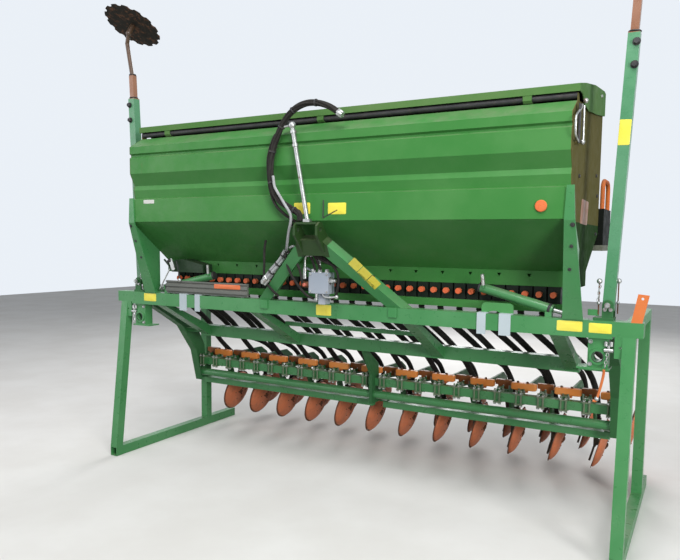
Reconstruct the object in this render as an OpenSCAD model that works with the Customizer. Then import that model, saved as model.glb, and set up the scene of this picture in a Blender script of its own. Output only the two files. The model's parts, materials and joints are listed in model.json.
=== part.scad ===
// Mounted seed drill, 3 m wide with 24 single-disc coulters, standing on its two parking stands.
// The side that faces the tractor is -Y, and +X is on the right of someone who looks at that side.
// The origin is on the floor, in the middle of the machine's length and width.

/* [Rows] */
// Number of seed rows
row_count = 24; // [20:2:26]
// Distance between neighbouring rows
row_pitch = 125; // [115:1:130]

/* [Main beam] */
// Side of the square main beam
beam_side = 80; // [70:1:90]
// Wall of the main beam
beam_wall = 6; // [4:0.5:8]
// Front face of the main beam, ahead of the middle of the machine
beam_front = 640; // [620:1:660]
// Underside of the main beam above the floor
beam_z = 1020; // [990:1:1040]

/* [Parking stands] */
// Width of the stand tubes
stand_tube = 55; // [45:1:60]
// Wall of the stand tubes
stand_wall = 4; // [3:0.5:6]
// Height of the base rail
rail_h = 60; // [50:1:70]
// Front end of the base rail, ahead of the middle
rail_front = 757; // [740:1:780]
// Rear end of the base rail, behind the middle
rail_back = 490; // [450:1:540]
// Front face of the rear leg, behind the middle
rear_leg_y = 145; // [120:1:170]
// Length of the head block beyond the end of the main beam
head_len = 127; // [110:1:140]
// Gap round the stub inside the main beam
stub_gap = 1; // [0.5:0.1:2]

/* [Coulter frame] */
// Side of the square coulter bar
bar_side = 50; // [46:1:54]
// Front face of the coulter bar, ahead of the middle
bar_front = 20; // [10:1:30]
// Top of the coulter bar above the floor
bar_top = 573; // [563:1:583]
// Diameter of the pressure tube
press_tube_d = 52; // [44:1:56]
// Height of the axis of the pressure tube
press_tube_z = 466; // [460:1:470]
// Side of the square lower bar
low_bar_side = 40; // [36:1:44]
// Thickness of the side arm plates
arm_plate = 10; // [8:1:14]
// Width of the flange along a side arm
arm_flange = 56; // [50:1:60]

/* [Coulters] */
// Diameter of the steel cutting disc
disc_d = 320; // [300:1:330]
// Thickness of the steel cutting disc
disc_t = 4; // [3:0.5:5]
// Diameter of the flexible depth disc
depth_d = 296; // [270:1:300]
// Thickness of the flexible depth disc at its rim
depth_t = 8; // [6:1:12]
// Height of the depth disc's dome over its rim
dome_h = 22; // [16:1:26]
// Lean of the discs, top towards +X
disc_lean = 15; // [8:1:18]
// Angle of the discs to the direction of travel
disc_toe = 3; // [0:0.5:5]
// Height of the disc centres above the floor
disc_z = 257; // [245:1:280]
// Front row of disc centres, behind the middle
front_row_y = 355; // [340:1:370]
// Rear row of disc centres, behind the middle
rear_row_y = 695; // [680:1:710]
// Thickness of the coulter arms
coulter_arm_t = 14; // [10:1:16]
// Distance from a coulter arm to its disc
disc_offset = 24; // [23:0.5:28]
// Diameter of the disc axles
axle_d = 24; // [20:1:28]
// Outer diameter of the seed tubes
seed_tube_d = 36; // [30:1:40]

/* [Hopper] */
// Distance from the end of the main beam to the hopper's end plate
hopper_inset = 179; // [172:1:200]
// Thickness of the hopper sheets
sheet_t = 3; // [2:0.5:4]
// Height of the front rim
rim_front_z = 2074; // [2065:1:2080]
// Height of the rear rim
rim_back_z = 2150; // [2130:1:2160]
// Foremost fold of the front wall, ahead of the middle
hopper_front = 805; // [795:1:815]
// Outer face of the rear wall, behind the middle
hopper_back = 31; // [20:1:45]
// Lower edge of the front wall, where the trough begins
trough_top_z = 1554; // [1530:1:1570]
// Diameter of the lid's hinge tube
hinge_d = 30; // [26:1:32]
// Running clearance on the hinge tube, on the radius
hinge_gap = 0.1; // [0.05:0.01:0.1]
// Gap between the lid's skirts and the hopper
lid_gap = 6; // [5:0.5:8]

/* [Markers] */
// Distance of each marker pivot from the end of the main beam
marker_inset = 29; // [24:1:34]
// Height of the marker pivot
marker_pivot_z = 1170; // [1165:1:1180]
// Side of the square marker arm
marker_side = 50; // [44:1:54]
// Length of the square marker arm above its pivot
marker_arm_len = 1200; // [1170:1:1220]
// Diameter of the notched marker disc
marker_disc_d = 370; // [340:1:380]
// Number of notches in the marker disc
notch_count = 14; // [10:1:16]

/* [Hidden] */
function pad(i) = i < 10 ? str("0", i) : str(i);
coulters_a_row = row_count / 2;
FRONT_DISCS = [for (i = [1:coulters_a_row]) str("disc_front_", pad(i))];
REAR_DISCS = [for (i = [1:coulters_a_row]) str("disc_rear_", pad(i))];

green = "#2f7d46";
dark_green = "#1f5a32";
orange = "#e07a3a";
grey = "#8f9093";
black = "#1c1c1e";
zinc = "#b9bec0";
brown = "#4a352c";

beam_len = row_count * row_pitch;
hopper_len = beam_len - 2 * hopper_inset;
marker_x = beam_len / 2 - marker_inset;
beam_back_y = -beam_front + beam_side;
beam_top_z = beam_z + beam_side;
beam_mid_y = -beam_front + beam_side / 2;
beam_mid_z = beam_z + beam_side / 2;
bar_back_y = -bar_front + bar_side;
bar_bottom_z = bar_top - bar_side;
row_span = (row_count - 1) * row_pitch;
first_front_x = -row_span / 2;
first_rear_x = first_front_x + row_pitch;
web_left = beam_len / 2 - 38;
web_right = beam_len / 2 - 12;
stand_x = beam_len / 2 + 70;
stand_in_x = stand_x - stand_tube / 2;
press_tube_y = -25;
low_bar_top = press_tube_z - press_tube_d / 2 - 31;
low_bar_y = 45;
clamp_t = 8;
axle_gap = 0.08;

// Draws its 2D child, laid out as (y, z), from x0 along +X for len.
module along_x(x0, len) {
    translate([x0, 0, 0]) rotate([90, 0, 90]) linear_extrude(len) children();
}

// Draws its 2D child, laid out as (x, z), from y0 along +Y for len.
module along_y(y0, len) {
    translate([0, y0 + len, 0]) rotate([90, 0, 0]) linear_extrude(len) children();
}

// Cylinder along X.
module rod_x(d, x0, x1, y, z) {
    translate([x0, y, z]) rotate([0, 90, 0]) cylinder(d = d, h = x1 - x0);
}

// Cylinder along Y.
module rod_y(d, y0, y1, x, z) {
    translate([x, y0, z]) rotate([-90, 0, 0]) cylinder(d = d, h = y1 - y0);
}

// Cylinder between two points.
module rod(d, a, b) {
    v = b - a;
    len = norm(v);
    turn = atan2(v[1], v[0]);
    tilt = acos(v[2] / len);
    translate(a) rotate([0, tilt, turn]) rotate([0, 0, 20]) cylinder(d = d, h = len);
}

// Box given by its lowest and highest corners.
module block(lo, hi) {
    translate(lo) cube(hi - lo);
}

// Draws its child on both sides of the middle plane.
module both_sides() {
    children();
    mirror([1, 0, 0]) children();
}

// Outline of a folded sheet: the points p, and the same points offset by t to the left of the path.
function unit(v) = v / norm(v);
function left_of(a, b) = let (u = unit(b - a)) [-u[1], u[0]];
function sheet_offset(p, i, t) =
    i == 0 ? left_of(p[0], p[1]) * t :
    i == len(p) - 1 ? left_of(p[i - 1], p[i]) * t :
    let (n = left_of(p[i - 1], p[i]), m = left_of(p[i], p[i + 1])) (n + m) * t / (1 + n * m);
function sheet(p, t) = concat(p, [for (i = [len(p) - 1:-1:0]) p[i] + sheet_offset(p, i, t)]);

// Main beam, with the end housings that rest on the tillage implement below
housing_x = beam_len / 2 - 105;
housing_w = 89;
housing_h = 136;
housing_y0 = -625;
housing_y1 = -562;
socket_d = 45;
socket_z = 935;
shoe_t = 8;
module end_housing() {
    difference() {
        union() {
            block([housing_x, housing_y0, beam_z - housing_h], [housing_x + housing_w, housing_y1, beam_z]);
            rod_y(75, housing_y0 - 8, housing_y0, housing_x + housing_w / 2, socket_z);
            block([housing_x - 45, housing_y0 - 15, beam_z - housing_h - shoe_t],
                [housing_x + housing_w + 8, housing_y1 + 15, beam_z - housing_h]);
        }
        rod_y(socket_d, housing_y0 - 20, housing_y1 + 20, housing_x + housing_w / 2, socket_z);
        block([housing_x + 8, housing_y0 + 10, beam_z - housing_h - 20],
            [housing_x + housing_w - 8, housing_y1 - 10, beam_z - housing_h + 12]);
    }
}
module main_beam() {
    color(green) {
        difference() {
            block([-beam_len / 2, -beam_front, beam_z], [beam_len / 2, beam_back_y, beam_top_z]);
            block([-beam_len / 2 - 1, -beam_front + beam_wall, beam_z + beam_wall],
                [beam_len / 2 + 1, beam_back_y - beam_wall, beam_top_z - beam_wall]);
        }
        both_sides() end_housing();
    }
}

// Parking stands: a head block with a stub in the beam's end, a top rail, two legs and a base rail
head_drop = 12;
head_z = beam_z + head_drop;
stub_len = 120;
stub_side = beam_side - 2 * beam_wall - 2 * stub_gap;
flag_w = 48;
flag_h = 98;
module stand() {
    x0 = stand_in_x;
    x1 = stand_in_x + stand_tube;
    leg_top_y = -beam_front;
    top_rail_z = head_z + 8;
    difference() {
        union() {
            block([beam_len / 2, -beam_front, head_z], [beam_len / 2 + head_len, beam_back_y, beam_top_z]);
            block([beam_len / 2 - stub_len, beam_mid_y - stub_side / 2, beam_z + beam_wall],
                [beam_len / 2, beam_mid_y + stub_side / 2, beam_z + beam_wall + stub_side]);
            block([x0, beam_back_y, top_rail_z], [x1, rear_leg_y + stand_tube, top_rail_z + stand_tube]);
            block([x0, rear_leg_y, rail_h], [x1, rear_leg_y + stand_tube, top_rail_z]);
            along_x(x0, stand_tube) polygon([[leg_top_y, head_z], [leg_top_y + stand_tube, head_z],
                [-rail_front + stand_tube, rail_h], [-rail_front, rail_h]]);
            block([x0, -rail_front, 0], [x1, rail_back, rail_h]);
            block([beam_len / 2 + 10, -beam_front, head_z - flag_h],
                [beam_len / 2 + 10 + flag_w, -beam_front + 10, head_z]);
        }
        block([x0 + stand_wall, -rail_front - 1, stand_wall], [x1 - stand_wall, rail_back + 1, rail_h - stand_wall]);
        rod_y(12, -beam_front - 1, -beam_front + 11, beam_len / 2 + 10 + flag_w / 2, head_z - flag_h / 2);
    }
}
module stand_right() { color(green) stand(); }
module stand_left() { color(green) mirror([1, 0, 0]) stand(); }

// Orange locking bar, standing on the head block of the +X stand
lock_w = 46;
lock_h = 128;
lock_lean = 24;
module lock_bar() {
    x0 = stand_x + 27 - lock_w / 2;
    color(orange) along_y(-beam_front, 10) difference() {
        polygon([[x0, beam_top_z], [x0 + lock_w, beam_top_z], [x0 + lock_w + lock_lean, beam_top_z + lock_h - 4],
            [x0 + lock_lean, beam_top_z + lock_h]]);
        translate([x0 + lock_w / 2 + 20, beam_top_z + lock_h - 20]) circle(d = 12);
    }
}

// Three-point headstock: a frame of two square tubes that leans forward, and the top link's plates
head_tube = 65;
head_foot_x = 465;
head_foot_y = -600;
head_lean = 26;
head_slope = 385;
tower_half = 62;
tower_plate = 14;
apex_half = tower_half + tower_plate / 2;
tower_top_z = 1545;
link_pin_d = 25;
link_pin_y = -824;
link_pin_z = 1505;
module headstock() {
    color(green) {
        intersection() {
            translate([0, head_foot_y, beam_top_z]) rotate([head_lean, 0, 0]) along_y(-head_tube / 2, head_tube)
                polygon([[-head_foot_x - 72, -60], [-head_foot_x + 8, -60], [-apex_half, head_slope - 72],
                    [apex_half, head_slope - 72], [head_foot_x - 8, -60], [head_foot_x + 72, -60],
                    [apex_half, head_slope + 20], [-apex_half, head_slope + 20]]);
            block([-600, -1000, beam_top_z], [600, -400, 1700]);
        }
        both_sides() block([head_foot_x - 75, -beam_front - 8, beam_top_z - 50],
            [head_foot_x - 25, -beam_front, beam_top_z]);
        difference() {
            union() {
                for (s = [-1, 1]) along_x(s * (tower_half + tower_plate / 2) - tower_plate / 2, tower_plate)
                    polygon([[-700, 1378], [-712, 1440], [-800, tower_top_z - 15], [-805, tower_top_z],
                        [link_pin_y - 5, tower_top_z], [link_pin_y - 30, link_pin_z + 20],
                        [link_pin_y - 30, link_pin_z - 30], [-770, 1378]]);
                block([-tower_half, -845, tower_top_z - 12], [tower_half, -805, tower_top_z]);
            }
            rod_x(link_pin_d, -tower_half - 20, tower_half + 20, link_pin_y, link_pin_z);
        }
    }
}

// Lower beam with its braces up to the main beam and the thin tie above it
lower_beam_half = beam_len / 2 - 210;
lower_beam_y0 = -185;
lower_beam_d = 60;
lower_beam_z0 = 770;
lower_beam_h = 75;
brace_w = 70;
module lower_beam() {
    color(green) {
        block([-lower_beam_half, lower_beam_y0, lower_beam_z0],
            [lower_beam_half, lower_beam_y0 + lower_beam_d, lower_beam_z0 + lower_beam_h]);
        for (x = [-lower_beam_half, -535, 465, lower_beam_half - brace_w]) along_x(x, brace_w)
            polygon([[-beam_front + 15, beam_z], [beam_back_y, beam_z], [lower_beam_y0, lower_beam_z0 + lower_beam_h],
                [lower_beam_y0, lower_beam_z0 + 8], [lower_beam_y0 - 40, lower_beam_z0 + 30]]);
        block([-466, -350, 915], [466, -325, 940]);
        block([lower_beam_half, lower_beam_y0 + 15, 785], [web_right, lower_beam_y0 + 45, 810]);
        block([-web_left, lower_beam_y0 + 15, 785], [-lower_beam_half, lower_beam_y0 + 45, 810]);
    }
}

// Side arms from the main beam down to the coulter bars, and the hanger in the middle
arm_front_edge = [[beam_back_y, beam_z], [-254, 835], [-112, 640], [-55, low_bar_top]];
module side_arm(web) {
    along_x(web, arm_plate) polygon(concat(arm_front_edge, [[95, low_bar_top], [95, 500], [38, 560], [30, 660],
        [-30, 770], [-140, 870], [beam_back_y, beam_top_z - 10]]));
    along_x(web - arm_flange + arm_plate, arm_flange) polygon(sheet(arm_front_edge, 8));
}
hanger_half = 10;
low_bar_end = beam_len / 2 - 70;
module side_arms() {
    color(dark_green) {
        side_arm(web_right);
        mirror([1, 0, 0]) side_arm(web_left);
        block([low_bar_end - 30, low_bar_y - 5, low_bar_top], [web_right, low_bar_y + 45, low_bar_top + 8]);
        along_x(-hanger_half, 2 * hanger_half) polygon([[lower_beam_y0 + 5, lower_beam_z0],
            [lower_beam_y0 + lower_beam_d, lower_beam_z0], [30, 660], [38, 560], [95, 500], [95, low_bar_top],
            [-65, low_bar_top], [-65, 600]]);
        block([-65, low_bar_y - 5, low_bar_top], [-hanger_half, low_bar_y + 45, low_bar_top + 8]);
        block([hanger_half, low_bar_y - 5, low_bar_top], [65, low_bar_y + 45, low_bar_top + 8]);
    }
}
module coulter_bar() {
    color(green) {
        block([hanger_half, -bar_front, bar_bottom_z], [web_right, bar_back_y, bar_top]);
        block([-web_left, -bar_front, bar_bottom_z], [-hanger_half, bar_back_y, bar_top]);
    }
}
module pressure_tube() {
    color(green) {
        rod_x(press_tube_d, hanger_half, web_right, press_tube_y, press_tube_z);
        rod_x(press_tube_d, -web_left, -hanger_half, press_tube_y, press_tube_z);
    }
}
module lower_bar() {
    color(green) {
        block([38, low_bar_y, low_bar_top - low_bar_side], [low_bar_end, low_bar_y + low_bar_side, low_bar_top]);
        block([-web_left - arm_plate, low_bar_y, low_bar_top - low_bar_side],
            [-38, low_bar_y + low_bar_side, low_bar_top]);
    }
}

// Clamps that hold one coulter each on the coulter bar
clamp_half = 22;
bolt_d = 10;
module bar_clamps() {
    color(zinc) for (i = [0:row_count - 1]) translate([first_front_x + i * row_pitch, 0, 0]) {
        block([-clamp_half, -bar_front - 14, bar_top], [clamp_half, bar_back_y + 14, bar_top + clamp_t]);
        block([-clamp_half, -bar_front - 14, bar_bottom_z - clamp_t], [clamp_half, bar_back_y + 14, bar_bottom_z]);
        for (x = [-14, 14], y = [-bar_front - 7, bar_back_y + 7]) translate([x, y, bar_bottom_z - clamp_t - 8])
            cylinder(d = bolt_d, h = bar_side + 2 * clamp_t + 26);
    }
}

// Coulter arms: a plate that runs back from the clamp and down to the disc's axle, the seed boot and its funnel
clamp_top_z = bar_top + clamp_t;
funnel_d = 44;
funnel_top_z = 390;
module coulter_arm(hub_y, elbow_y) {
    t = coulter_arm_t;
    along_x(-t / 2, t) polygon([[-bar_front, clamp_top_z], [-bar_front, clamp_top_z + 15], [elbow_y, clamp_top_z + 7],
        [elbow_y + 75, clamp_top_z - 40], [hub_y + 22, disc_z + 60], [hub_y + 22, disc_z - 24],
        [hub_y - 18, disc_z - 24], [hub_y - 22, disc_z + 50], [elbow_y + 20, clamp_top_z - 78],
        [elbow_y - 30, clamp_top_z - 30], [bar_back_y + 30, clamp_top_z - 16], [bar_back_y + 30, clamp_top_z]]);
    // funnel and the web that holds it behind the arm
    difference() {
        union() {
            translate([0, hub_y + 75, funnel_top_z - 60]) cylinder(d = funnel_d, h = 60);
            block([-t / 2, hub_y + 10, funnel_top_z - 75], [t / 2, hub_y + 75, funnel_top_z - 45]);
        }
        translate([0, hub_y + 75, funnel_top_z - 50]) cylinder(d = funnel_d - 10, h = 60);
    }
    translate([disc_offset, hub_y, disc_z]) rotate([0, disc_lean, disc_toe]) {
        rod_x(axle_d, -disc_offset, 16, 0, 0);
        rod_x(axle_d + 16, -disc_offset, -disc_t / 2 - 0.5, 0, 0);
        // seed boot, parallel to the disc
        along_x(-disc_offset - 2, 12) polygon([[-5, 25], [-25, -60], [10, -132], [45, -128], [75, 70], [40, 70]]);
    }
}
module coulter_arms_front() {
    color(dark_green) for (i = [0:coulters_a_row - 1]) translate([first_front_x + 2 * i * row_pitch, 0, 0])
        coulter_arm(front_row_y, 225);
}
module coulter_arms_rear() {
    color(dark_green) for (i = [0:coulters_a_row - 1]) translate([first_rear_x + 2 * i * row_pitch, 0, 0])
        coulter_arm(rear_row_y, 545);
}

// Orange heads at the front of the coulter arms: a wide bar on a short stem, bright on the rear row's arms
head_w = 106;
module coulter_head(y0, z0) {
    block([-head_w / 2, y0, z0], [head_w / 2, y0 + 30, z0 + 30]);
    for (x = [-head_w / 2 + 22, head_w / 2 - 34]) block([x, y0 + 4, z0 - 24], [x + 12, y0 + 24, z0]);
    for (s = [-1, 1]) block([s > 0 ? coulter_arm_t / 2 : -30, y0 + 4, z0 - 24],
        [s > 0 ? 30 : -coulter_arm_t / 2, y0 + 26, z0]);
}
module coulter_heads() {
    color(orange) for (i = [0:coulters_a_row - 1]) {
        translate([first_rear_x + 2 * i * row_pitch, 0, 0]) coulter_head(48, clamp_top_z + 18);
        translate([first_front_x + 2 * i * row_pitch, 0, 0]) intersection() {
            coulter_head(92, clamp_top_z + 18);
            block([-46, 0, 0], [46, 200, 700]);
        }
    }
}

// Seed tubes from the metering units over the lower beam to the funnels, as (y, z) points of each row's route
tube_start_y = -430;
meter_z = 1152;
front_route = [[tube_start_y, meter_z], [tube_start_y, 1095], [-400, 1035], [-40, 850], [150, 700],
    [front_row_y + 75, 480], [front_row_y + 75, funnel_top_z]];
rear_route = [[tube_start_y, meter_z], [tube_start_y, 1100], [-395, 1050], [-20, 870], [200, 735],
    [rear_row_y - 85, 620], [rear_row_y + 75, 480], [rear_row_y + 75, funnel_top_z]];
meter_squeeze = 0.87;
tube_lap = 5;
module seed_tube(row_x, route) {
    last = len(route) - 1;
    pts = [for (i = [0:last]) let (share = i < 3 ? meter_squeeze : i == 3 ? (1 + meter_squeeze) / 2 : 1)
        [row_x * share, route[i][0], route[i][1]]];
    for (i = [0:last - 1]) let (along = unit(pts[i + 1] - pts[i]))
        rod(seed_tube_d, pts[i] - (i == 0 ? 0 : tube_lap) * along,
            pts[i + 1] + (i == last - 1 ? 0 : tube_lap) * along, $fn = 12);
}
module seed_tubes() {
    color(black) for (i = [0:coulters_a_row - 1]) {
        seed_tube(first_front_x + 2 * i * row_pitch, front_route);
        seed_tube(first_rear_x + 2 * i * row_pitch, rear_route);
    }
}

// One disc: the steel cutting disc, the domed flexible depth disc beside it and the closed hub
dome_x = disc_t / 2 + depth_t;
hub_d = 74;
bore_end = 18;
module disc(row_x, row_y) {
    translate([row_x + disc_offset, row_y, disc_z]) rotate([0, disc_lean, disc_toe]) difference() {
        union() {
            color(brown) rod_x(disc_d, -disc_t / 2, disc_t / 2, 0, 0);
            color(orange) {
                rod_x(depth_d, disc_t / 2, dome_x, 0, 0);
                translate([dome_x, 0, 0]) rotate([0, 90, 0]) cylinder(d1 = depth_d - 20, d2 = hub_d + 40, h = dome_h);
            }
            rod_x(hub_d, dome_x + dome_h, dome_x + dome_h + 6, 0, 0);
        }
        rod_x(axle_d + 2 * axle_gap, -disc_t, bore_end, 0, 0);
    }
}

// Hopper: walls of folded sheet, as (y, z) points from the rim down
rim_y = -703;
wall_foot_y = -790;
flange_y = -485;
flange_top_z = 1312;
flange_bottom_z = 1236;
rear_flange_y = -300;
front_folds = [[rim_y, rim_front_z], [-hopper_front, 2012], [-hopper_front, 1970], [-hopper_front + 12, 1962],
    [-hopper_front + 12, 1952], [-hopper_front, 1944], [-hopper_front, 1849], [-768, 1776], [-776, 1749],
    [-766, 1699], [wall_foot_y, 1692], [wall_foot_y, trough_top_z]];
module hopper_front() {
    color(green) along_x(-hopper_len / 2 + sheet_t, hopper_len - 2 * sheet_t) polygon(sheet(front_folds, sheet_t));
}
rear_folds = [[hopper_back, 1500 + sheet_t], [hopper_back, rim_back_z]];
module hopper_rear() {
    color(green) along_x(-hopper_len / 2 + sheet_t, hopper_len - 2 * sheet_t) polygon(sheet(rear_folds, sheet_t));
}
trough_front_folds = [[wall_foot_y + sheet_t, trough_top_z - sheet_t], [flange_y, flange_top_z], [flange_y, flange_bottom_z]];
hole_pitch = 152;
hole_count = floor(hopper_len / 2 / hole_pitch);
tray_folds = [[tube_start_y - 22, meter_z], [-502, meter_z], [-502, 1112]];
module trough_front() {
    color(green) along_x(-hopper_len / 2 + 30, hopper_len - 60) polygon(sheet(tray_folds, sheet_t));
    color(green) difference() {
        along_x(-hopper_len / 2 + sheet_t, hopper_len - 2 * sheet_t) polygon(sheet(trough_front_folds, sheet_t));
        for (x = [-hole_count * hole_pitch + 20:hole_pitch:hole_count * hole_pitch]) translate([x, flange_y + sheet_t + 2, 1290])
            rotate([90, -30, 0]) cylinder(d = 24, h = 2 * sheet_t + 4, $fn = 3);
    }
}
trough_rear_folds = [[rear_flange_y, flange_bottom_z], [rear_flange_y, flange_top_z], [hopper_back, 1500 - sheet_t]];
module trough_rear() {
    color(green) along_x(-hopper_len / 2 + sheet_t, hopper_len - 2 * sheet_t)
        polygon(sheet(trough_rear_folds, sheet_t));
}

// End plates, with the hinge tube's lugs and the lid's latch on each
end_outline = concat([for (p = front_folds) p], [[flange_y, flange_top_z], [flange_y, flange_bottom_z],
    [rear_flange_y, flange_bottom_z], [rear_flange_y, flange_top_z], [hopper_back, 1500], [hopper_back, rim_back_z]]);
hinge_y = -690;
hinge_z = rim_front_z + 24;
latch_x = hopper_len / 2 + sheet_t + lid_gap + 8;
module hopper_ends() {
    color(green) both_sides() {
        along_x(hopper_len / 2 - sheet_t, sheet_t) polygon(end_outline);
        along_x(hopper_len / 2 - sheet_t, sheet_t) polygon([[hinge_y - 12, hinge_z - 30], [hinge_y - 12, hinge_z + 10],
            [hinge_y + 12, hinge_z + 10], [hinge_y + 40, hinge_z - 30]]);
        // latch: a rod between two eyes
        rod_x(14, hopper_len / 2, latch_x, -740, 1885);
        rod_x(14, hopper_len / 2, latch_x, -730, 2010);
        rod(8, [latch_x - 7, -740, 1885], [latch_x - 7, -730, 2010]);
    }
}
module hinge_tube() {
    color(black) rod_x(hinge_d, -hopper_len / 2 + sheet_t, hopper_len / 2 - sheet_t, hinge_y, hinge_z);
}

// Uprights that carry the hopper: a folded flange, wide at the foot, with a web outside the end plate
upright_top = [hopper_len / 2 - 15, hopper_len / 2 + 17];
upright_foot = [hopper_len / 2 - 41, hopper_len / 2 + 51];
upright_folds = [[-798, 1700], [-798, trough_top_z - 5], [-beam_front - 8, beam_top_z]];
module upright() {
    intersection() {
        along_x(upright_foot[0] - 10, 120) polygon(sheet(upright_folds, 8));
        along_y(-900, 400) polygon([[upright_foot[0], beam_top_z], [upright_top[0], 1700], [upright_top[1], 1700],
            [upright_foot[1], beam_top_z]]);
    }
    along_x(hopper_len / 2, 8) polygon([[-beam_front, beam_top_z], [beam_back_y, beam_top_z], [beam_back_y, 1420],
        [-785, 1640], [-790, trough_top_z - 5]]);
}
module hopper_uprights() {
    color(green) {
        both_sides() upright();
    }
}

// Lid: a shallow shell that turns on the hinge tube by three eyes
lid_t = 4;
lid_rise = [[-712, 2113], [-712, 2146], [-560, 2178], [-300, 2222], [0, 2252],
    [hopper_back + lid_gap + lid_t, 2246], [hopper_back + lid_gap + lid_t, rim_back_z - 20]];
lid_skirt = [[-202, 2096], [-471, 2068], [-590, 2078], [-640, 2113]];
lid_eye = 40;
module lid() {
    half = hopper_len / 2 + lid_gap;
    color(green) difference() {
        union() {
            along_x(-half, 2 * half) polygon(sheet([for (i = [len(lid_rise) - 1:-1:0]) lid_rise[i]], lid_t));
            both_sides() along_x(half, lid_t) polygon(concat(lid_rise, lid_skirt));
            for (x = [-1100, 0, 1100]) along_x(x - lid_eye / 2, lid_eye) polygon([[hinge_y - 20, hinge_z - 8],
                [hinge_y - 20, 2144], [hinge_y + 30, 2154], [hinge_y + 20, hinge_z - 8], [hinge_y + 8, hinge_z - 20],
                [hinge_y - 8, hinge_z - 20]]);
        }
        for (x = [-1100, 0, 1100])
            rod_x(hinge_d + 2 * hinge_gap, x - lid_eye, x + lid_eye, hinge_y, hinge_z);
    }
}

// Metering row under the trough: one housing and one orange knob for each 69 mm
meter_count = 36;
meter_pitch = (hopper_len - 158) / meter_count;
module metering_row() {
    x0 = -(meter_count - 1) * meter_pitch / 2;
    color(black) for (i = [0:meter_count - 1]) translate([x0 + i * meter_pitch, 0, 0]) {
        block([-30, flange_y + sheet_t, meter_z], [30, rear_flange_y - sheet_t, flange_bottom_z + 10]);
        rod_y(30, flange_y - 26, flange_y + sheet_t, 0, 1196);
    }
}

// Gearbox at the -X end under the hopper, with its lever
gear_x = -hopper_len / 2 + 141;
module gearbox() {
    color(black) translate([gear_x, 0, 0]) {
        along_y(-600, 90) polygon([[0, 1240], [0, 1300], [30, 1318], [100, 1322], [260, 1290], [260, 1240]]);
        block([80, -510, 1240], [180, flange_y, 1300]);
        rod_y(16, -625, -600, 15, 1262);
        rod(12, [15, -618, 1262], [-45, -618, 1318]);
    }
}

// Loading platform along the rear of the hopper, with the black box and the orange hand rail on its +X end
platform_z = 1410;
deck_t = 30;
deck_end = hopper_len / 2 + 24;
box_h = 200;
rail_tube = 24;
rail_bend = 50;
grip_y = [90, 295];
grip_top_z = 1795;
module hand_rail() {
    foot_z = platform_z + deck_t + box_h;
    for (y = grip_y) translate([0, y, foot_z]) cylinder(d = rail_tube, h = grip_top_z - rail_bend - foot_z);
    for (i = [0, 1]) translate([0, grip_y[i] + (i == 0 ? rail_bend : -rail_bend), grip_top_z - rail_bend])
        rotate([90, 0, i == 0 ? -90 : 90]) rotate_extrude(angle = 90) translate([rail_bend, 0]) circle(d = rail_tube);
    rod_y(rail_tube, grip_y[0] + rail_bend, grip_y[1] - rail_bend, 0, grip_top_z);
}
module platform() {
    color(grey) {
        block([-hopper_len / 2 + 21, 60, platform_z], [deck_end, 330, platform_z + deck_t]);
        both_sides() along_x(hopper_len / 2 - 81, 12) polygon([[hopper_back, 1620], [hopper_back, platform_z - 40],
            [60, platform_z - 40], [310, platform_z - 14], [310, platform_z], [60, platform_z],
            [60, platform_z + deck_t], [52, 1620]]);
    }
    color(black) block([deck_end - 60, 60, platform_z + deck_t], [deck_end, 325, platform_z + deck_t + box_h]);
    color(orange) translate([deck_end - 15, 0, 0]) hand_rail();
}

// Silver post that holds the hoses up in front of the hopper
post_foot = [0, -830, tower_top_z + 8];
post_top = [-95, -834, 2050];
module hose_post() {
    color(zinc) {
        rod(24, post_foot, post_top);
        translate([-20, post_foot[1] - 12, tower_top_z]) cube([40, 24, 16]);
        translate(post_top) sphere(d = 40, $fn = 24);
        difference() {
            rod(12, post_top, hose_eye);
            hose_run(36.6);
        }
    }
}
hose_y = -836;
hose_d = 36;
hose_eye = [-166, hose_y, 2045];
hose_points = [for (p = [[-42, tower_top_z + 0.3], [-42, 1590], [-110, 1622], [-190, 1668], [-228, 1745], [-234, 1850],
    [-212, 1950], [-166, 2045], [-112, 2115], [-40, 2152], [50, 2158], [130, 2130], [185, 2095]])
    [p[0], hose_y, p[1]]];
module hose_run(d) {
    last = len(hose_points) - 1;
    for (i = [0:last - 1]) rod(d, hose_points[i], hose_points[i + 1]);
    for (i = [1:last]) translate(hose_points[i]) sphere(d = d + 1, $fn = 24);
}
module hoses() { color(black) hose_run(hose_d); }

// Grey valve block in the headstock, on its green bracket
module valve_block() {
    color(grey) {
        block([-65, -710, 1160], [60, -645, 1275]);
        block([-15, -690, beam_top_z], [30, -640, 1160]);
        rod(14, [-110, -680, 1300], [-40, -680, 1275]);
    }
}

// Cylinders that fold the markers, lying above the beam
module marker_cylinders() {
    color(green) both_sides() translate([beam_len / 2 - 270, 0, 0]) {
        rod(48, [0, -600, 1134], [-370, -560, 1225]);
        rod(20, [50, -600, 1122], [0, -600, 1134]);
        rod(14, [-345, -590, 1225], [-350, -600, 1290]);
        block([-35, -620, beam_top_z], [-5, -580, 1125]);
    }
}

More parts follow.
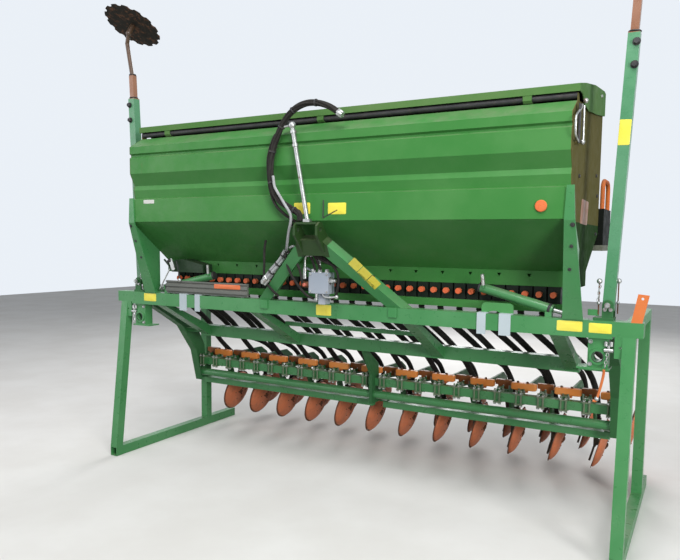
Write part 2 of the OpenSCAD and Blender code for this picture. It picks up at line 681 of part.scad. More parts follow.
// Marker feet on the beam's ends, with the pivot pins
pivot_d = 24;
foot_t = 12;
marker_y = -570;
foot_front = marker_y - marker_side / 2 - 6 - foot_t;
foot_back = marker_y + marker_side / 2 + 6;
pivot_x = marker_x;
foot_out = beam_len / 2 - 2;
module marker_feet() {
    color(dark_green) both_sides() {
        for (y = [foot_front, foot_back]) {
            block([pivot_x - 24, y, beam_top_z + foot_t], [pivot_x + 24, y + foot_t, marker_pivot_z]);
            rod_y(48, y, y + foot_t, pivot_x, marker_pivot_z);
        }
        block([pivot_x - 60, foot_front - 8, beam_top_z], [foot_out, foot_back + foot_t, beam_top_z + foot_t]);
        rod_y(pivot_d, foot_front - 8, foot_back + foot_t + 8, pivot_x, marker_pivot_z);
    }
}
marker_lean = 2.6;
marker_axle_d = 20;
marker_hub = [-38, -18, marker_arm_len + 458];
marker_hub_turn = [-27, -9, 0];
marker_elbow = [4, -30, marker_arm_len + 350];
module at_marker_pivot() {
    translate([pivot_x, marker_y, marker_pivot_z]) rotate([0, marker_lean, 0]) children();
}
hub_up = [sin(marker_hub_turn[1]) * cos(marker_hub_turn[0]), -sin(marker_hub_turn[0]),
    cos(marker_hub_turn[1]) * cos(marker_hub_turn[0])];
module marker_arm() {
    at_marker_pivot() difference() {
        union() {
            block([-marker_side / 2, -marker_side / 2, -25], [marker_side / 2, marker_side / 2, marker_arm_len]);
            block([-17, -17, marker_arm_len], [17, 17, marker_arm_len + 150]);
            rod(26, [0, 0, marker_arm_len + 120], marker_elbow);
            translate(marker_elbow) sphere(d = 27, $fn = 24);
            rod(26, marker_elbow, marker_hub - 60 * hub_up);
            translate(marker_hub - 60 * hub_up) sphere(d = 36, $fn = 24);
            translate(marker_hub) rotate(marker_hub_turn) {
                translate([0, 0, -60]) cylinder(d = marker_axle_d + 14, h = 59);
                translate([0, 0, -60]) cylinder(d = marker_axle_d, h = 76);
            }
        }
        rod_y(pivot_d + 2 * axle_gap, -30, 30, 0, 0);
    }
}
module marker_right() { color(green) marker_arm(); }
module marker_left() { color(green) mirror([1, 0, 0]) marker_arm(); }
module marker_disc() {
    at_marker_pivot() translate(marker_hub) rotate(marker_hub_turn) difference() {
        union() {
            cylinder(d = marker_disc_d, h = 4);
            cylinder(d = 70, h = 10);
        }
        for (i = [0:notch_count - 1]) rotate([0, 0, i * 360 / notch_count])
            translate([marker_disc_d / 2 + 8, 0, -1]) cylinder(d = 44, h = 6);
        translate([0, 0, -1]) cylinder(d = marker_axle_d + 2 * axle_gap, h = 12);
    }
}
module marker_disc_right() { color(brown) marker_disc(); }
module marker_disc_left() { color(brown) mirror([1, 0, 0]) marker_disc(); }

// Grey grooved rail and a curved green plate, both on zinc straps that hook over the front of the beam
strap_t = 6;
strap_top_z = beam_top_z + strap_t;
rail_x = [-beam_len / 2 + 305, -beam_len / 2 + 955];
left_straps = [[-1074, -1017], [-948, -909]];
right_straps = [[873, 917], [983, 1040]];
rail_face = [[-622, strap_top_z], [-628, strap_top_z], [-628, 1120], [-640, 1120], [-640, 1136], [-632, 1140],
    [-632, 1146], [-640, 1150], [-640, 1166], [-632, 1170], [-632, 1174], [-640, 1178], [-640, 1186], [-622, 1186]];
module strap(x) {
    along_x(x[0], x[1] - x[0]) polygon([[-beam_front, 1000], [-beam_front, beam_top_z], [-592, beam_top_z],
        [-592, strap_top_z], [-beam_front - strap_t, strap_top_z], [-beam_front - strap_t, 1000]]);
}
module curved_plate() {
    along_y(-614, 8) difference() {
        union() {
            translate([886, strap_top_z]) square([158, 26]);
            translate([908, strap_top_z]) square([114, 48]);
            for (x = [908, 1022]) translate([x, strap_top_z + 26]) circle(r = 22);
        }
        translate([950, strap_top_z - 52]) circle(r = 60);
    }
}
module deck_rail() {
    color(grey) along_x(rail_x[0], rail_x[1] - rail_x[0]) polygon(rail_face);
    color(zinc) for (x = concat(left_straps, right_straps)) strap(x);
    color(green) curved_plate();
}

main_beam();
stand_left();
stand_right();
headstock();
lower_beam();
side_arms();
coulter_bar();
pressure_tube();
lower_bar();
bar_clamps();
coulter_arms_front();
coulter_arms_rear();
coulter_heads();
seed_tubes();
hopper_front();
hopper_rear();
hopper_ends();
trough_front();
trough_rear();
hopper_uprights();
hinge_tube();
lid();
metering_row();
gearbox();
platform();
hose_post();
hoses();
valve_block();
marker_cylinders();
marker_feet();
marker_left();
marker_right();
marker_disc_left();
marker_disc_right();
deck_rail();
lock_bar();
for (i = [0:coulters_a_row - 1]) {
    disc(first_front_x + 2 * i * row_pitch, front_row_y);
    disc(first_rear_x + 2 * i * row_pitch, rear_row_y);
}
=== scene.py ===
"""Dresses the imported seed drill: finishes, labels, hoses, fasteners, chains, and the studio round it.

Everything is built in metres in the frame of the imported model: -Y is the side that faces the
tractor, +X is on the right of someone who looks at that side, and the floor is z = 0.
Tables of places and sizes are in millimetres.
"""
from __future__ import annotations

import json
import logging
import math
from dataclasses import dataclass
from enum import Enum
from typing import Any, Sequence

import bpy
import numpy as np
from mathutils import Matrix

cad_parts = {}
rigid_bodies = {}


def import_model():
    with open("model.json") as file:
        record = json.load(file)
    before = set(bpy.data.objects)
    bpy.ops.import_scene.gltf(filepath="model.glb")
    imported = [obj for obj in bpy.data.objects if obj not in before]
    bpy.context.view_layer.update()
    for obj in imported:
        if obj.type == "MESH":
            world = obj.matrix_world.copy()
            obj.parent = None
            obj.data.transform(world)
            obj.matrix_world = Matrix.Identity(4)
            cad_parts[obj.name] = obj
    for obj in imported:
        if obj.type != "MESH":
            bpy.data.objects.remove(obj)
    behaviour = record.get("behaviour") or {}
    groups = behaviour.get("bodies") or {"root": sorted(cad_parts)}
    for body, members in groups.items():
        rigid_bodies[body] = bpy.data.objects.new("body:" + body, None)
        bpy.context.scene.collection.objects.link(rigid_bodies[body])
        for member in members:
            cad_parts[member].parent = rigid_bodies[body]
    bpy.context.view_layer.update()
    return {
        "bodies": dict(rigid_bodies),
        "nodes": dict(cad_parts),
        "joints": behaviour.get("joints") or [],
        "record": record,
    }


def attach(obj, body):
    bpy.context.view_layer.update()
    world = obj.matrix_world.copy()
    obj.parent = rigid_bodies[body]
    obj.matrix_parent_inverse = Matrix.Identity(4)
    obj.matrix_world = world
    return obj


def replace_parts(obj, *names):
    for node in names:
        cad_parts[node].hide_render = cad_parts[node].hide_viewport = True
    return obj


LOG = logging.getLogger("seed_drill")
MM = 0.001
ACROSS = (1.0, 0.0, 0.0)
BACK = (0.0, 1.0, 0.0)
FORWARD = (0.0, -1.0, 0.0)
UP = (0.0, 0.0, 1.0)
SIDES = (1, -1)
OPEN = 9.0
DUST = (0.28, 0.25, 0.19)
SPECKS = (0.20, 0.19, 0.13)
RUST_RUNS = (0.22, 0.10, 0.04)
NEW_RUST = (0.21, 0.085, 0.035)
OLD_RUST = (0.09, 0.04, 0.025)
SMEARS = (0.09, 0.065, 0.045)
BLOOM = (0.075, 0.07, 0.06)
Array = np.ndarray
Colour = tuple[float, float, float]
Place = tuple[float, float, float]
Route = tuple[Place, ...]
Flat = tuple[tuple[float, float], ...]
Vector = Sequence[float]
Socket = bpy.types.NodeSocket


class Body(Enum):
    """Names of the CAD bodies that the added pieces ride on, apart from the coulter discs."""

    FRAME = "drill_frame"
    MARKER_LEFT = "marker_left"
    MARKER_RIGHT = "marker_right"


# Meshes


def unit(v: Array) -> Array:
    """Vectors scaled to length one along the last axis."""
    return v / np.maximum(np.linalg.norm(v, axis=-1, keepdims=True), 1e-12)


def metres(table: Sequence[Any]) -> Array:
    """A table of places or sizes in millimetres as an array in metres."""
    return np.asarray(table, float) * MM


def at_side(places: Sequence[Any], side: int) -> Array:
    """Places in millimetres as places in metres, mirrored in X where side is -1."""
    return metres(places) * (side, 1, 1)


def round_angles(count: int) -> Array:
    """Angles evenly spaced round a full turn."""
    return np.linspace(0, 2 * np.pi, count, endpoint=False)


def round_points(angle: Array, across: Array, up: Array) -> Array:
    """Points of a unit circle, shape (n, 3): across times the cosine plus up times the sine."""
    return np.cos(angle)[:, None] * across + np.sin(angle)[:, None] * up


def signed_power(value: Array, power: float) -> Array:
    """The size of each value raised to a power, with the value's own sign."""
    return np.sign(value) * np.abs(value) ** power


def length_of(path: Array) -> float:
    """Length of a route with straight stretches."""
    return float(np.linalg.norm(np.diff(path, axis=0), axis=1).sum())


def spaced(path: Array, shares: Array) -> Array:
    """Points of a route with straight stretches at the given shares of its length.

    Args:
        path: its corners, shape (n, 3).
        shares: 0 at its start to 1 at its end.

    Returns:
        One point for each share, shape (k, 3).
    """
    along = np.concatenate([[0], np.cumsum(np.linalg.norm(np.diff(path, axis=0), axis=1))])
    return np.stack([np.interp(shares * along[-1], along, path[:, k]) for k in range(3)], 1)


def smooth_path(points: Array, count: int, fine: int = 24) -> Array:
    """A smooth curve through points: a cubic Hermite spline whose tangents are half the neighbours' span.

    Args:
        points: corners of the route, in metres.
        count: number of points wanted.
        fine: steps in each stretch before the points are spaced evenly.

    Returns:
        Points evenly spaced along the curve, shape (count, 3).
    """
    tangent = np.gradient(points, axis=0)
    t = np.linspace(0, 1, fine, endpoint=False)[None, :, None]
    a, b = points[:-1, None], points[1:, None]
    ta, tb = tangent[:-1, None], tangent[1:, None]
    curve = ((2 * t**3 - 3 * t**2 + 1) * a + (t**3 - 2 * t**2 + t) * ta
             + (-2 * t**3 + 3 * t**2) * b + (t**3 - t**2) * tb)
    dense = np.vstack([curve.reshape(-1, 3), points[-1:]])
    return spaced(dense, np.linspace(0, 1, count))


def rounded_path(points: Array, count: int, cuts: int = 2) -> Array:
    """A route with cut corners: each cut keeps the points at 1/4 and 3/4 of every stretch, and both ends.

    Args:
        points: corners of the route, in metres.
        count: number of points wanted.
        cuts: how often the corners are cut.

    Returns:
        Points evenly spaced along the route, shape (count, 3).
    """
    p = points
    for _ in range(cuts):
        a, b = p[:-1], p[1:]
        between = np.stack([0.75 * a + 0.25 * b, 0.25 * a + 0.75 * b], 1).reshape(-1, 3)
        p = np.vstack([p[:1], between, p[-1:]])
    return spaced(p, np.linspace(0, 1, count))


def frames_along(path: Array, reference: Vector) -> tuple[Array, Array]:
    """Normal and binormal at each point: the normal is the reference direction made square to the path.

    Args:
        path: points, shape (n, 3).
        reference: a direction that the path never runs along.

    Returns:
        Two arrays of shape (n, 3).
    """
    t = unit(np.gradient(path, axis=0))
    ref = np.asarray(reference, float)
    n = unit(ref - (t @ ref)[:, None] * t)
    return n, np.cross(t, n)


class Sketch:
    """Collects surfaces and turns them into one Blender mesh."""

    def __init__(self) -> None:
        """Starts with no surface."""
        self.verts: list[Array] = []
        self.faces: list[Array] = []
        self.slots: list[Array] = []
        self.count = 0

    def add(self, verts: Array, faces: Array, slot: int = 0) -> None:
        """Adds a surface.

        Args:
            verts: vertex places in metres, shape (n, 3).
            faces: quads of vertex numbers that start at 0, anticlockwise seen from outside, shape (m, 4).
            slot: material slot.
        """
        self.verts.append(np.asarray(verts, float).reshape(-1, 3))
        self.faces.append(np.asarray(faces, np.int64) + self.count)
        self.slots.append(np.full(len(faces), slot, np.int32))
        self.count += len(self.verts[-1])

    def grid(self, points: Array, slot: int = 0, wrap_u: bool = False, caps: bool = False) -> None:
        """Adds a surface given as a grid of points whose rows are closed rings.

        Args:
            points: shape (rows, columns, 3).
            slot: material slot.
            wrap_u: joins the last row to the first.
            caps: closes the first and the last row.
        """
        rows, cols = points.shape[:2]
        ids = np.arange(rows * cols).reshape(rows, cols)
        r = np.arange(rows if wrap_u else rows - 1)[:, None]
        c = np.arange(cols)[None]
        below, right = (r + 1) % rows, (c + 1) % cols
        faces = np.stack([ids[r, c], ids[r, right], ids[below, right], ids[below, c]], -1).reshape(-1, 4)
        verts = points.reshape(-1, 3)
        if caps:
            ends = np.stack([points[0].mean(0), points[-1].mean(0)])
            first, last = rows * cols, rows * cols + 1
            nxt = np.roll(np.arange(cols), -1)
            low = np.stack([np.full(cols, first), ids[0][nxt], ids[0], ids[0]], -1)
            top = np.stack([np.full(cols, last), ids[-1], ids[-1][nxt], ids[-1][nxt]], -1)
            faces = np.vstack([faces, low, top])
            verts = np.vstack([verts, ends])
        self.add(verts, faces, slot)

    def tube(self, path: Array, radius: float | Array, sides: int = 10, slot: int = 0,
             reference: Vector = BACK) -> None:
        """Adds a round tube: circles of the given radius square to the path at each of its points.

        Args:
            path: points, shape (n, 3).
            radius: one radius, or one for each point.
            sides: points round the circle.
            slot: material slot.
            reference: a direction that the path never runs along.
        """
        n, b = frames_along(path, reference)
        angle = round_angles(sides)[None, :, None]
        r = np.broadcast_to(np.asarray(radius, float), (len(path),))[:, None, None]
        ring = np.cos(angle) * n[:, None] + np.sin(angle) * b[:, None]
        self.grid(path[:, None] + r * ring, slot, caps=True)

    def turned(self, profile: Sequence[Vector] | Array, origin: Vector, axis: Vector, sides: int = 24,
               slot: int = 0) -> None:
        """Adds a solid of revolution: each (radius, height) of the profile becomes a circle round the axis.

        Args:
            profile: (radius, height) pairs in metres, from the low end to the high end.
            origin: the point of height zero on the axis.
            axis: direction of growing height.
            sides: points round a circle.
            slot: material slot.
        """
        t = unit(np.asarray(axis, float))
        ref = np.array(UP if abs(t[2]) < 0.9 else ACROSS)
        n = unit(ref - (ref @ t) * t)
        pr = np.asarray(profile, float)[..., None, None]
        ring = round_points(round_angles(sides), n, np.cross(t, n))
        self.grid(np.asarray(origin, float) + pr[:, 1] * t + pr[:, 0] * ring[None], slot, caps=True)

    def rod(self, start: Vector, end: Vector, radius: float, sides: int = 12, slot: int = 0) -> None:
        """Adds a straight round rod between two points, with a small chamfer at each end.

        Args:
            start: middle of one end.
            end: middle of the other end.
            radius: radius in metres.
            sides: points round the rod.
            slot: material slot.
        """
        a, b = np.asarray(start, float), np.asarray(end, float)
        length = float(np.linalg.norm(b - a))
        edge = min(0.15 * radius, 0.2 * length)
        profile = [(radius - edge, 0.0), (radius, edge), (radius, length - edge), (radius - edge, length)]
        self.turned(profile, a, b - a, sides, slot)

    def ball(self, centre: Vector, radius: float, slot: int = 0, sides: int = 12) -> None:
        """Adds a ball: circles of radius r sin(t) at height -r cos(t), with t from one pole to the other."""
        t = np.linspace(0.12, np.pi - 0.12, sides // 2 + 2)
        self.turned(np.stack([radius * np.sin(t), -radius * np.cos(t)], 1), centre, UP, sides, slot)

    def bolt(self, place: Vector, axis: Vector, across: float, height: float, slot: int = 0) -> None:
        """Adds a hexagonal head on a round washer.

        Args:
            place: middle of the washer's back, on the surface that it clamps.
            axis: direction out of that surface.
            across: width of the hexagon over its corners.
            height: height of the head.
            slot: material slot.
        """
        washer, r = 0.18 * height, across / 2
        self.turned([(1.25 * r, 0.0), (1.25 * r, washer)], place, axis, 16, slot)
        head = np.asarray(place, float) + unit(np.asarray(axis, float)) * washer
        self.turned([(r, 0.0), (r, 0.8 * height), (0.82 * r, height)], head, axis, 6, slot)

    def collar(self, place: Vector, axis: Vector, radius: float, half: float, slot: int, step: float = 0.001,
               edge: float = 0.001, sides: int = 20) -> None:
        """Adds a chamfered ring round a hose or a rod.

        Args:
            place: its middle.
            axis: direction of the hose.
            radius: outer radius.
            half: half of its height.
            slot: material slot.
            step: how much smaller the radius is at both ends.
            edge: height of each chamfer.
            sides: points round the circle.
        """
        inner = radius - step
        profile = [(inner, -half), (radius, edge - half), (radius, half - edge), (inner, half)]
        self.turned(profile, place, axis, sides, slot)

    def box(self, low: Vector, high: Vector, slot: int = 0, edge: float = 0.0015) -> None:
        """Adds a block with chamfered upright edges: an octagon on the XY plane, carried up in Z.

        Args:
            low: lowest corner.
            high: highest corner.
            slot: material slot.
            edge: width of the chamfer.
        """
        (x0, y0, z0), (x1, y1, z1) = low, high
        e = min(edge, 0.3 * (x1 - x0), 0.3 * (y1 - y0))
        ring = np.array([(x0 + e, y0), (x1 - e, y0), (x1, y0 + e), (x1, y1 - e),
                         (x1 - e, y1), (x0 + e, y1), (x0, y1 - e), (x0, y0 + e)])
        self.grid(np.stack([np.column_stack([ring, np.full(8, z)]) for z in (z0, z1)]), slot, caps=True)

    def chain(self, path: Array, pitch: float, wire: float, slot: int = 0) -> None:
        """Adds a chain: oval links along the path, each turned a quarter from the one before it.

        Args:
            path: points that the chain follows, shape (n, 3).
            pitch: inner length of a link.
            wire: radius of the link's wire.
            slot: material slot.
        """
        count = max(int(length_of(path) / pitch), 2)
        places = spaced(path, (np.arange(count) + 0.5) / count)
        t = unit(np.gradient(places, axis=0))
        side = np.where(np.abs(t[:, :1]) < 0.8, ACROSS, BACK)
        n = unit(side - (side * t).sum(1, keepdims=True) * t)
        b = np.cross(t, n)
        odd = (np.arange(count) % 2 == 1)[:, None]
        turns = np.stack([np.where(odd, b, n), np.where(odd, -n, b), t], -1)
        angle = round_angles(12)
        oval = np.stack([0.42 * pitch * np.cos(angle), np.zeros(12), (pitch / 2 + wire) * np.sin(angle)], 1)
        out = unit(oval * (1.0, 1.0, 0.5))
        turn = round_angles(5)[None, :, None]
        ring = np.cos(turn) * out[:, None] + np.sin(turn) * np.array(BACK)
        link = Sketch()
        link.grid(oval[:, None] + wire * ring, wrap_u=True)
        self.copies(link, places, turns, slot)

    def plate(self, centre: Vector, u: Vector, v: Vector, thickness: float, slot: int = 0,
              corner: float = 0.12, steps: int = 40) -> None:
        """Adds a thin plate with rounded corners: a superellipse outline, extruded along u x v.

        Args:
            centre: middle of the back face.
            u: half of the width, as a vector.
            v: half of the height, as a vector.
            thickness: how far it stands proud.
            slot: material slot.
            corner: 0 gives square corners and 1 an ellipse.
            steps: points round the outline.
        """
        c, uu, vv = (np.asarray(x, float) for x in (centre, u, v))
        n = unit(np.cross(uu, vv))
        angle = round_angles(steps) + np.pi / steps
        ca, sa = (signed_power(wave(angle), corner)[:, None] for wave in (np.cos, np.sin))
        ring = ca * uu + sa * vv
        self.grid(np.stack([c + ring, c + ring + n * thickness * 0.8, c + ring * 0.985 + n * thickness]),
                  slot, caps=True)

    def copies(self, shape: Sketch, places: Array, turns: Array | None = None, slot: int = 0) -> None:
        """Adds the same small shape at many places.

        Args:
            shape: the shape, drawn round its own origin.
            places: where each copy goes, shape (k, 3).
            turns: a rotation matrix for each copy, shape (k, 3, 3), or None.
            slot: material slot.
        """
        verts, faces = np.vstack(shape.verts), np.vstack(shape.faces)
        k, n = len(places), len(verts)
        local = np.broadcast_to(verts, (k, n, 3)) if turns is None else np.einsum("kij,nj->kni", turns, verts)
        numbers = faces[None] + (np.arange(k) * n)[:, None, None]
        self.add((local + places[:, None]).reshape(-1, 3), numbers.reshape(-1, 4), slot)

    def draw(self, parts: Sequence[Part], side: int = 1) -> None:
        """Adds the parts of a table in order, mirrored in X where side is -1."""
        for part in parts:
            part.draw(self, side)

    def build(self, name: str, body: Body | str, finishes: Sequence[Finish],
              smooth: float = 35.0) -> bpy.types.Object:
        """Makes the mesh object, gives it its materials and lets it ride on its body.

        Args:
            name: object name.
            body: the CAD body it moves with, or its name.
            finishes: one finish for each slot.
            smooth: edges sharper than this many degrees stay sharp.

        Returns:
            The new object, at the origin.
        """
        verts, quads = np.vstack(self.verts), np.vstack(self.faces)
        triangle = quads[:, 2] == quads[:, 3]
        loops = np.where(triangle, 3, 4)
        keep = np.ones(quads.shape, bool)
        keep[triangle, 3] = False
        mesh = bpy.data.meshes.new(name)
        mesh.vertices.add(len(verts))
        mesh.vertices.foreach_set("co", verts.astype(np.float32).ravel())
        mesh.loops.add(int(loops.sum()))
        mesh.loops.foreach_set("vertex_index", quads[keep].astype(np.int32))
        mesh.polygons.add(len(quads))
        mesh.polygons.foreach_set("loop_start", np.concatenate([[0], np.cumsum(loops)[:-1]]).astype(np.int32))
        mesh.polygons.foreach_set("material_index", np.concatenate(self.slots))
        mesh.polygons.foreach_set("use_smooth", np.ones(len(quads), bool))
        mesh.update(calc_edges=True)
        mesh.validate()
        for finish in finishes:
            mesh.materials.append(finish.material())
        mesh.set_sharp_from_angle(angle=math.radians(smooth))
        obj = bpy.data.objects.new(name, mesh)
        bpy.context.scene.collection.objects.link(obj)
        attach(obj, body.value if isinstance(body, Body) else body)
        LOG.info("piece %s: %d faces", name, len(quads))
        return obj


@dataclass(frozen=True)
class Rod:
    """A straight round rod between two places, in millimetres."""

    start: Place
    end: Place
    radius: float
    sides: int = 12
    slot: int = 0

    def draw(self, sketch: Sketch, side: int) -> None:
        """Adds the rod."""
        start, end = at_side((self.start, self.end), side)
        sketch.rod(start, end, self.radius * MM, self.sides, self.slot)


@dataclass(frozen=True)
class Ball:
    """A round knob, in millimetres."""

    centre: Place
    radius: float

    def draw(self, sketch: Sketch, side: int) -> None:
        """Adds the ball in the first slot."""
        sketch.ball(at_side(self.centre, side), self.radius * MM)


@dataclass(frozen=True)
class Bolt:
    """A bolt's head on its washer, in millimetres."""

    place: Place
    across: float
    height: float
    axis: Place = FORWARD
    slot: int = 0

    def draw(self, sketch: Sketch, side: int) -> None:
        """Adds the bolt."""
        axis = np.asarray(self.axis) * (side, 1, 1)
        sketch.bolt(at_side(self.place, side), axis, self.across * MM, self.height * MM, self.slot)


@dataclass(frozen=True)
class Chain:
    """A hanging chain with its pitch and wire radius, in millimetres."""

    route: Route
    pitch: float
    wire: float

    def draw(self, sketch: Sketch, side: int) -> None:
        """Adds the chain in the first slot."""
        sketch.chain(at_side(self.route, side), self.pitch * MM, self.wire * MM)


@dataclass(frozen=True)
class Block:
    """A block between two corners, in millimetres."""

    low: Place
    high: Place
    slot: int = 1

    def draw(self, sketch: Sketch, side: int) -> None:
        """Adds the block."""
        corners = np.sort([at_side(self.low, side), at_side(self.high, side)], axis=0)
        sketch.box(corners[0], corners[1], self.slot)


@dataclass(frozen=True)
class Line:
    """A hose, pipe or bent rod in millimetres: a spline or, where cut is set, a route with cut corners."""

    route: Route
    radius: float
    count: int = 40
    slot: int = 0
    sides: int = 10
    cut: bool = False
    reference: Place = BACK

    def draw(self, sketch: Sketch, side: int) -> None:
        """Adds the line."""
        path = (rounded_path if self.cut else smooth_path)(at_side(self.route, side), self.count)
        sketch.tube(path, self.radius * MM, self.sides, self.slot, self.reference)


Part = Rod | Ball | Bolt | Chain | Block | Line


# Finishes


class Nodes:
    """A short way to write a material's node tree."""

    def __init__(self, name: str) -> None:
        """Makes a material with a Principled shader and object coordinates."""
        self.material = bpy.data.materials.new(name)
        self.material.use_nodes = True
        self.tree = self.material.node_tree
        self.shader = self.tree.nodes["Principled BSDF"]
        self.coords = self.tree.nodes.new("ShaderNodeTexCoord").outputs["Object"]

    def node(self, kind: str, inputs: dict[Any, Any] | None = None, **settings: Any) -> bpy.types.Node:
        """Adds a node, sets its properties and links or sets its inputs.

        Args:
            kind: node type without the ShaderNode prefix.
            inputs: input name or number to a socket or a value.
            **settings: node properties.

        Returns:
            The node.
        """
        made = self.tree.nodes.new("ShaderNode" + kind)
        for key, value in settings.items():
            setattr(made, key, value)
        for key, value in (inputs or {}).items():
            if isinstance(value, Socket):
                self.tree.links.new(value, made.inputs[key])
            else:
                made.inputs[key].default_value = value
        return made

    def noise(self, scale: float, detail: float = 4.0, rough: float = 0.55,
              stretch: Colour | None = None) -> Socket:
        """Fractal noise on object coordinates.

        Args:
            scale: features per metre.
            detail: octaves.
            rough: strength of the fine octaves.
            stretch: factors for each axis, or None.

        Returns:
            The noise value socket.
        """
        vector = self.coords
        if stretch:
            vector = self.node("Mapping", {"Vector": self.coords, "Scale": stretch}).outputs[0]
        inputs = {"Vector": vector, "Scale": scale, "Detail": detail, "Roughness": rough}
        return self.node("TexNoise", inputs).outputs["Fac"]

    def ramp(self, value: Socket, low: float, high: float, out_low: float = 0.0,
             out_high: float = 1.0) -> Socket:
        """Maps a value from low..high to out_low..out_high with smooth ends.

        Args:
            value: the socket to read.
            low: start of the range.
            high: end of the range.
            out_low: result at the start.
            out_high: result at the end.

        Returns:
            The result socket.
        """
        inputs = {"Value": value, "From Min": low, "From Max": high, "To Min": out_low, "To Max": out_high}
        return self.node("MapRange", inputs, interpolation_type="SMOOTHSTEP").outputs[0]

    def mix(self, factor: Any, a: Socket | Colour, b: Socket | Colour) -> Socket:
        """Colour between a and b.

        Args:
            factor: socket or number.
            a: colour at 0.
            b: colour at 1.

        Returns:
            The colour socket.
        """
        values = {6: a, 7: b}
        inputs = {key: (*value, 1.0) if isinstance(value, tuple) else value for key, value in values.items()}
        return self.node("Mix", {0: factor, **inputs}, data_type="RGBA").outputs[2]

    def maths(self, operation: str, a: Any, b: Any = 0.0) -> Socket:
        """One arithmetic step on sockets or numbers, named as the Math node names it."""
        return self.node("Math", {0: a, 1: b}, operation=operation).outputs[0]

    def inside(self, low: Place, high: Place) -> Socket:
        """1 inside a box of object coordinates and 0 outside: a product of one step for each closed side.

        Args:
            low: lowest corner, where -OPEN leaves a side open.
            high: highest corner, where OPEN leaves a side open.

        Returns:
            The mask socket.
        """
        place = self.node("SeparateXYZ", {0: self.coords}).outputs
        mask: Any = 1.0
        for axis in range(3):
            if low[axis] > -OPEN:
                mask = self.maths("MULTIPLY", mask, self.maths("GREATER_THAN", place[axis], low[axis]))
            if high[axis] < OPEN:
                mask = self.maths("MULTIPLY", mask, self.maths("LESS_THAN", place[axis], high[axis]))
        return mask

    def height(self, value: Socket, distance: float, strength: float) -> None:
        """Links a bump from a height value.

        Args:
            value: height socket, 0 to 1.
            distance: height of 1, in metres.
            strength: share of the bump.
        """
        bump = self.node("Bump", {"Height": value, "Distance": distance, "Strength": strength})
        self.link("Normal", bump.outputs[0])

    def colour(self, socket: Socket) -> None:
        """Links the base colour."""
        self.link("Base Color", socket)

    def link(self, name: str, socket: Socket) -> None:
        """Links one shader input."""
        self.tree.links.new(socket, self.shader.inputs[name])

    def set(self, name: str, value: float) -> None:
        """Sets one shader input."""
        self.shader.inputs[name].default_value = value


@dataclass(frozen=True)
class Look:
    """A finish with a procedural material of its own."""

    name: str
    colour: Colour

    def build(self) -> bpy.types.Material:
        """Makes the material."""
        n = Nodes(self.name)
        self.dress(n)
        return n.material

    def dress(self, n: Nodes) -> None:
        """Fills the material's node tree."""
        raise NotImplementedError


@dataclass(frozen=True)
class Zone:
    """A box of object coordinates where a piece has another colour. A side at -OPEN or OPEN has no limit."""

    low: Place
    high: Place
    colour: Colour
    faded: Colour


@dataclass(frozen=True)
class Paint(Look):
    """Machine paint: uneven gloss, dust on what faces up, specks of dirt and runs of rust."""

    faded: Colour
    dust: float = 0.35
    rust: float = 0.15
    gloss: float = 0.38
    shine: float = 0.3
    zones: tuple[Zone, ...] = ()

    def dress(self, n: Nodes) -> None:
        """Mixes the coats in order: paint, zones, dust, specks and rusty runs."""
        wear = n.ramp(n.noise(3.0, 6.0), 0.35, 0.7)
        base = n.mix(wear, self.colour, self.faded)
        for zone in self.zones:
            base = n.mix(n.inside(zone.low, zone.high), base, n.mix(wear, zone.colour, zone.faded))
        normal = n.node("NewGeometry").outputs["Normal"]
        up = n.node("SeparateXYZ", {0: normal}).outputs[2]
        grime = n.maths("MULTIPLY", n.ramp(up, 0.2, 0.95), n.ramp(n.noise(9.0, 8.0, 0.7), 0.3, 0.75))
        base = n.mix(n.maths("MULTIPLY", grime, self.dust), base, DUST)
        specks = n.ramp(n.noise(120.0, 4.0, 0.7), 0.62, 0.72)
        base = n.mix(n.maths("MULTIPLY", specks, 0.18), base, SPECKS)
        streaks = n.ramp(n.noise(14.0, 8.0, 0.75, (1.0, 1.0, 0.25)), 0.64, 0.72)
        runs = n.maths("MULTIPLY", streaks, n.ramp(n.noise(2.2, 2.0), 0.45, 0.62))
        n.colour(n.mix(n.maths("MULTIPLY", runs, self.rust), base, RUST_RUNS))
        n.link("Roughness", n.ramp(n.noise(22.0, 5.0), 0.3, 0.7, self.gloss - 0.08, self.gloss + 0.14))
        n.height(n.noise(260.0, 2.0), 0.0004, 0.35)
        n.set("Specular IOR Level", self.shine)


@dataclass(frozen=True)
class Moulding(Look):
    """Moulded plastic with a fine grain, faded and scuffed."""

    faded: Colour
    rough: float = 0.5
    dirt: float = 0.4

    def dress(self, n: Nodes) -> None:
        """Mixes the faded colour and brown smears, over a fine grain."""
        base = n.mix(n.ramp(n.noise(12.0, 6.0), 0.3, 0.75), self.colour, self.faded)
        smear = n.ramp(n.noise(30.0, 8.0, 0.75), 0.48, 0.7)
        n.colour(n.mix(n.maths("MULTIPLY", smear, self.dirt), base, SMEARS))
        n.link("Roughness", n.ramp(n.noise(50.0, 4.0), 0.3, 0.7, self.rough, self.rough + 0.2))
        n.height(n.noise(700.0, 2.0), 0.0002, 0.4)


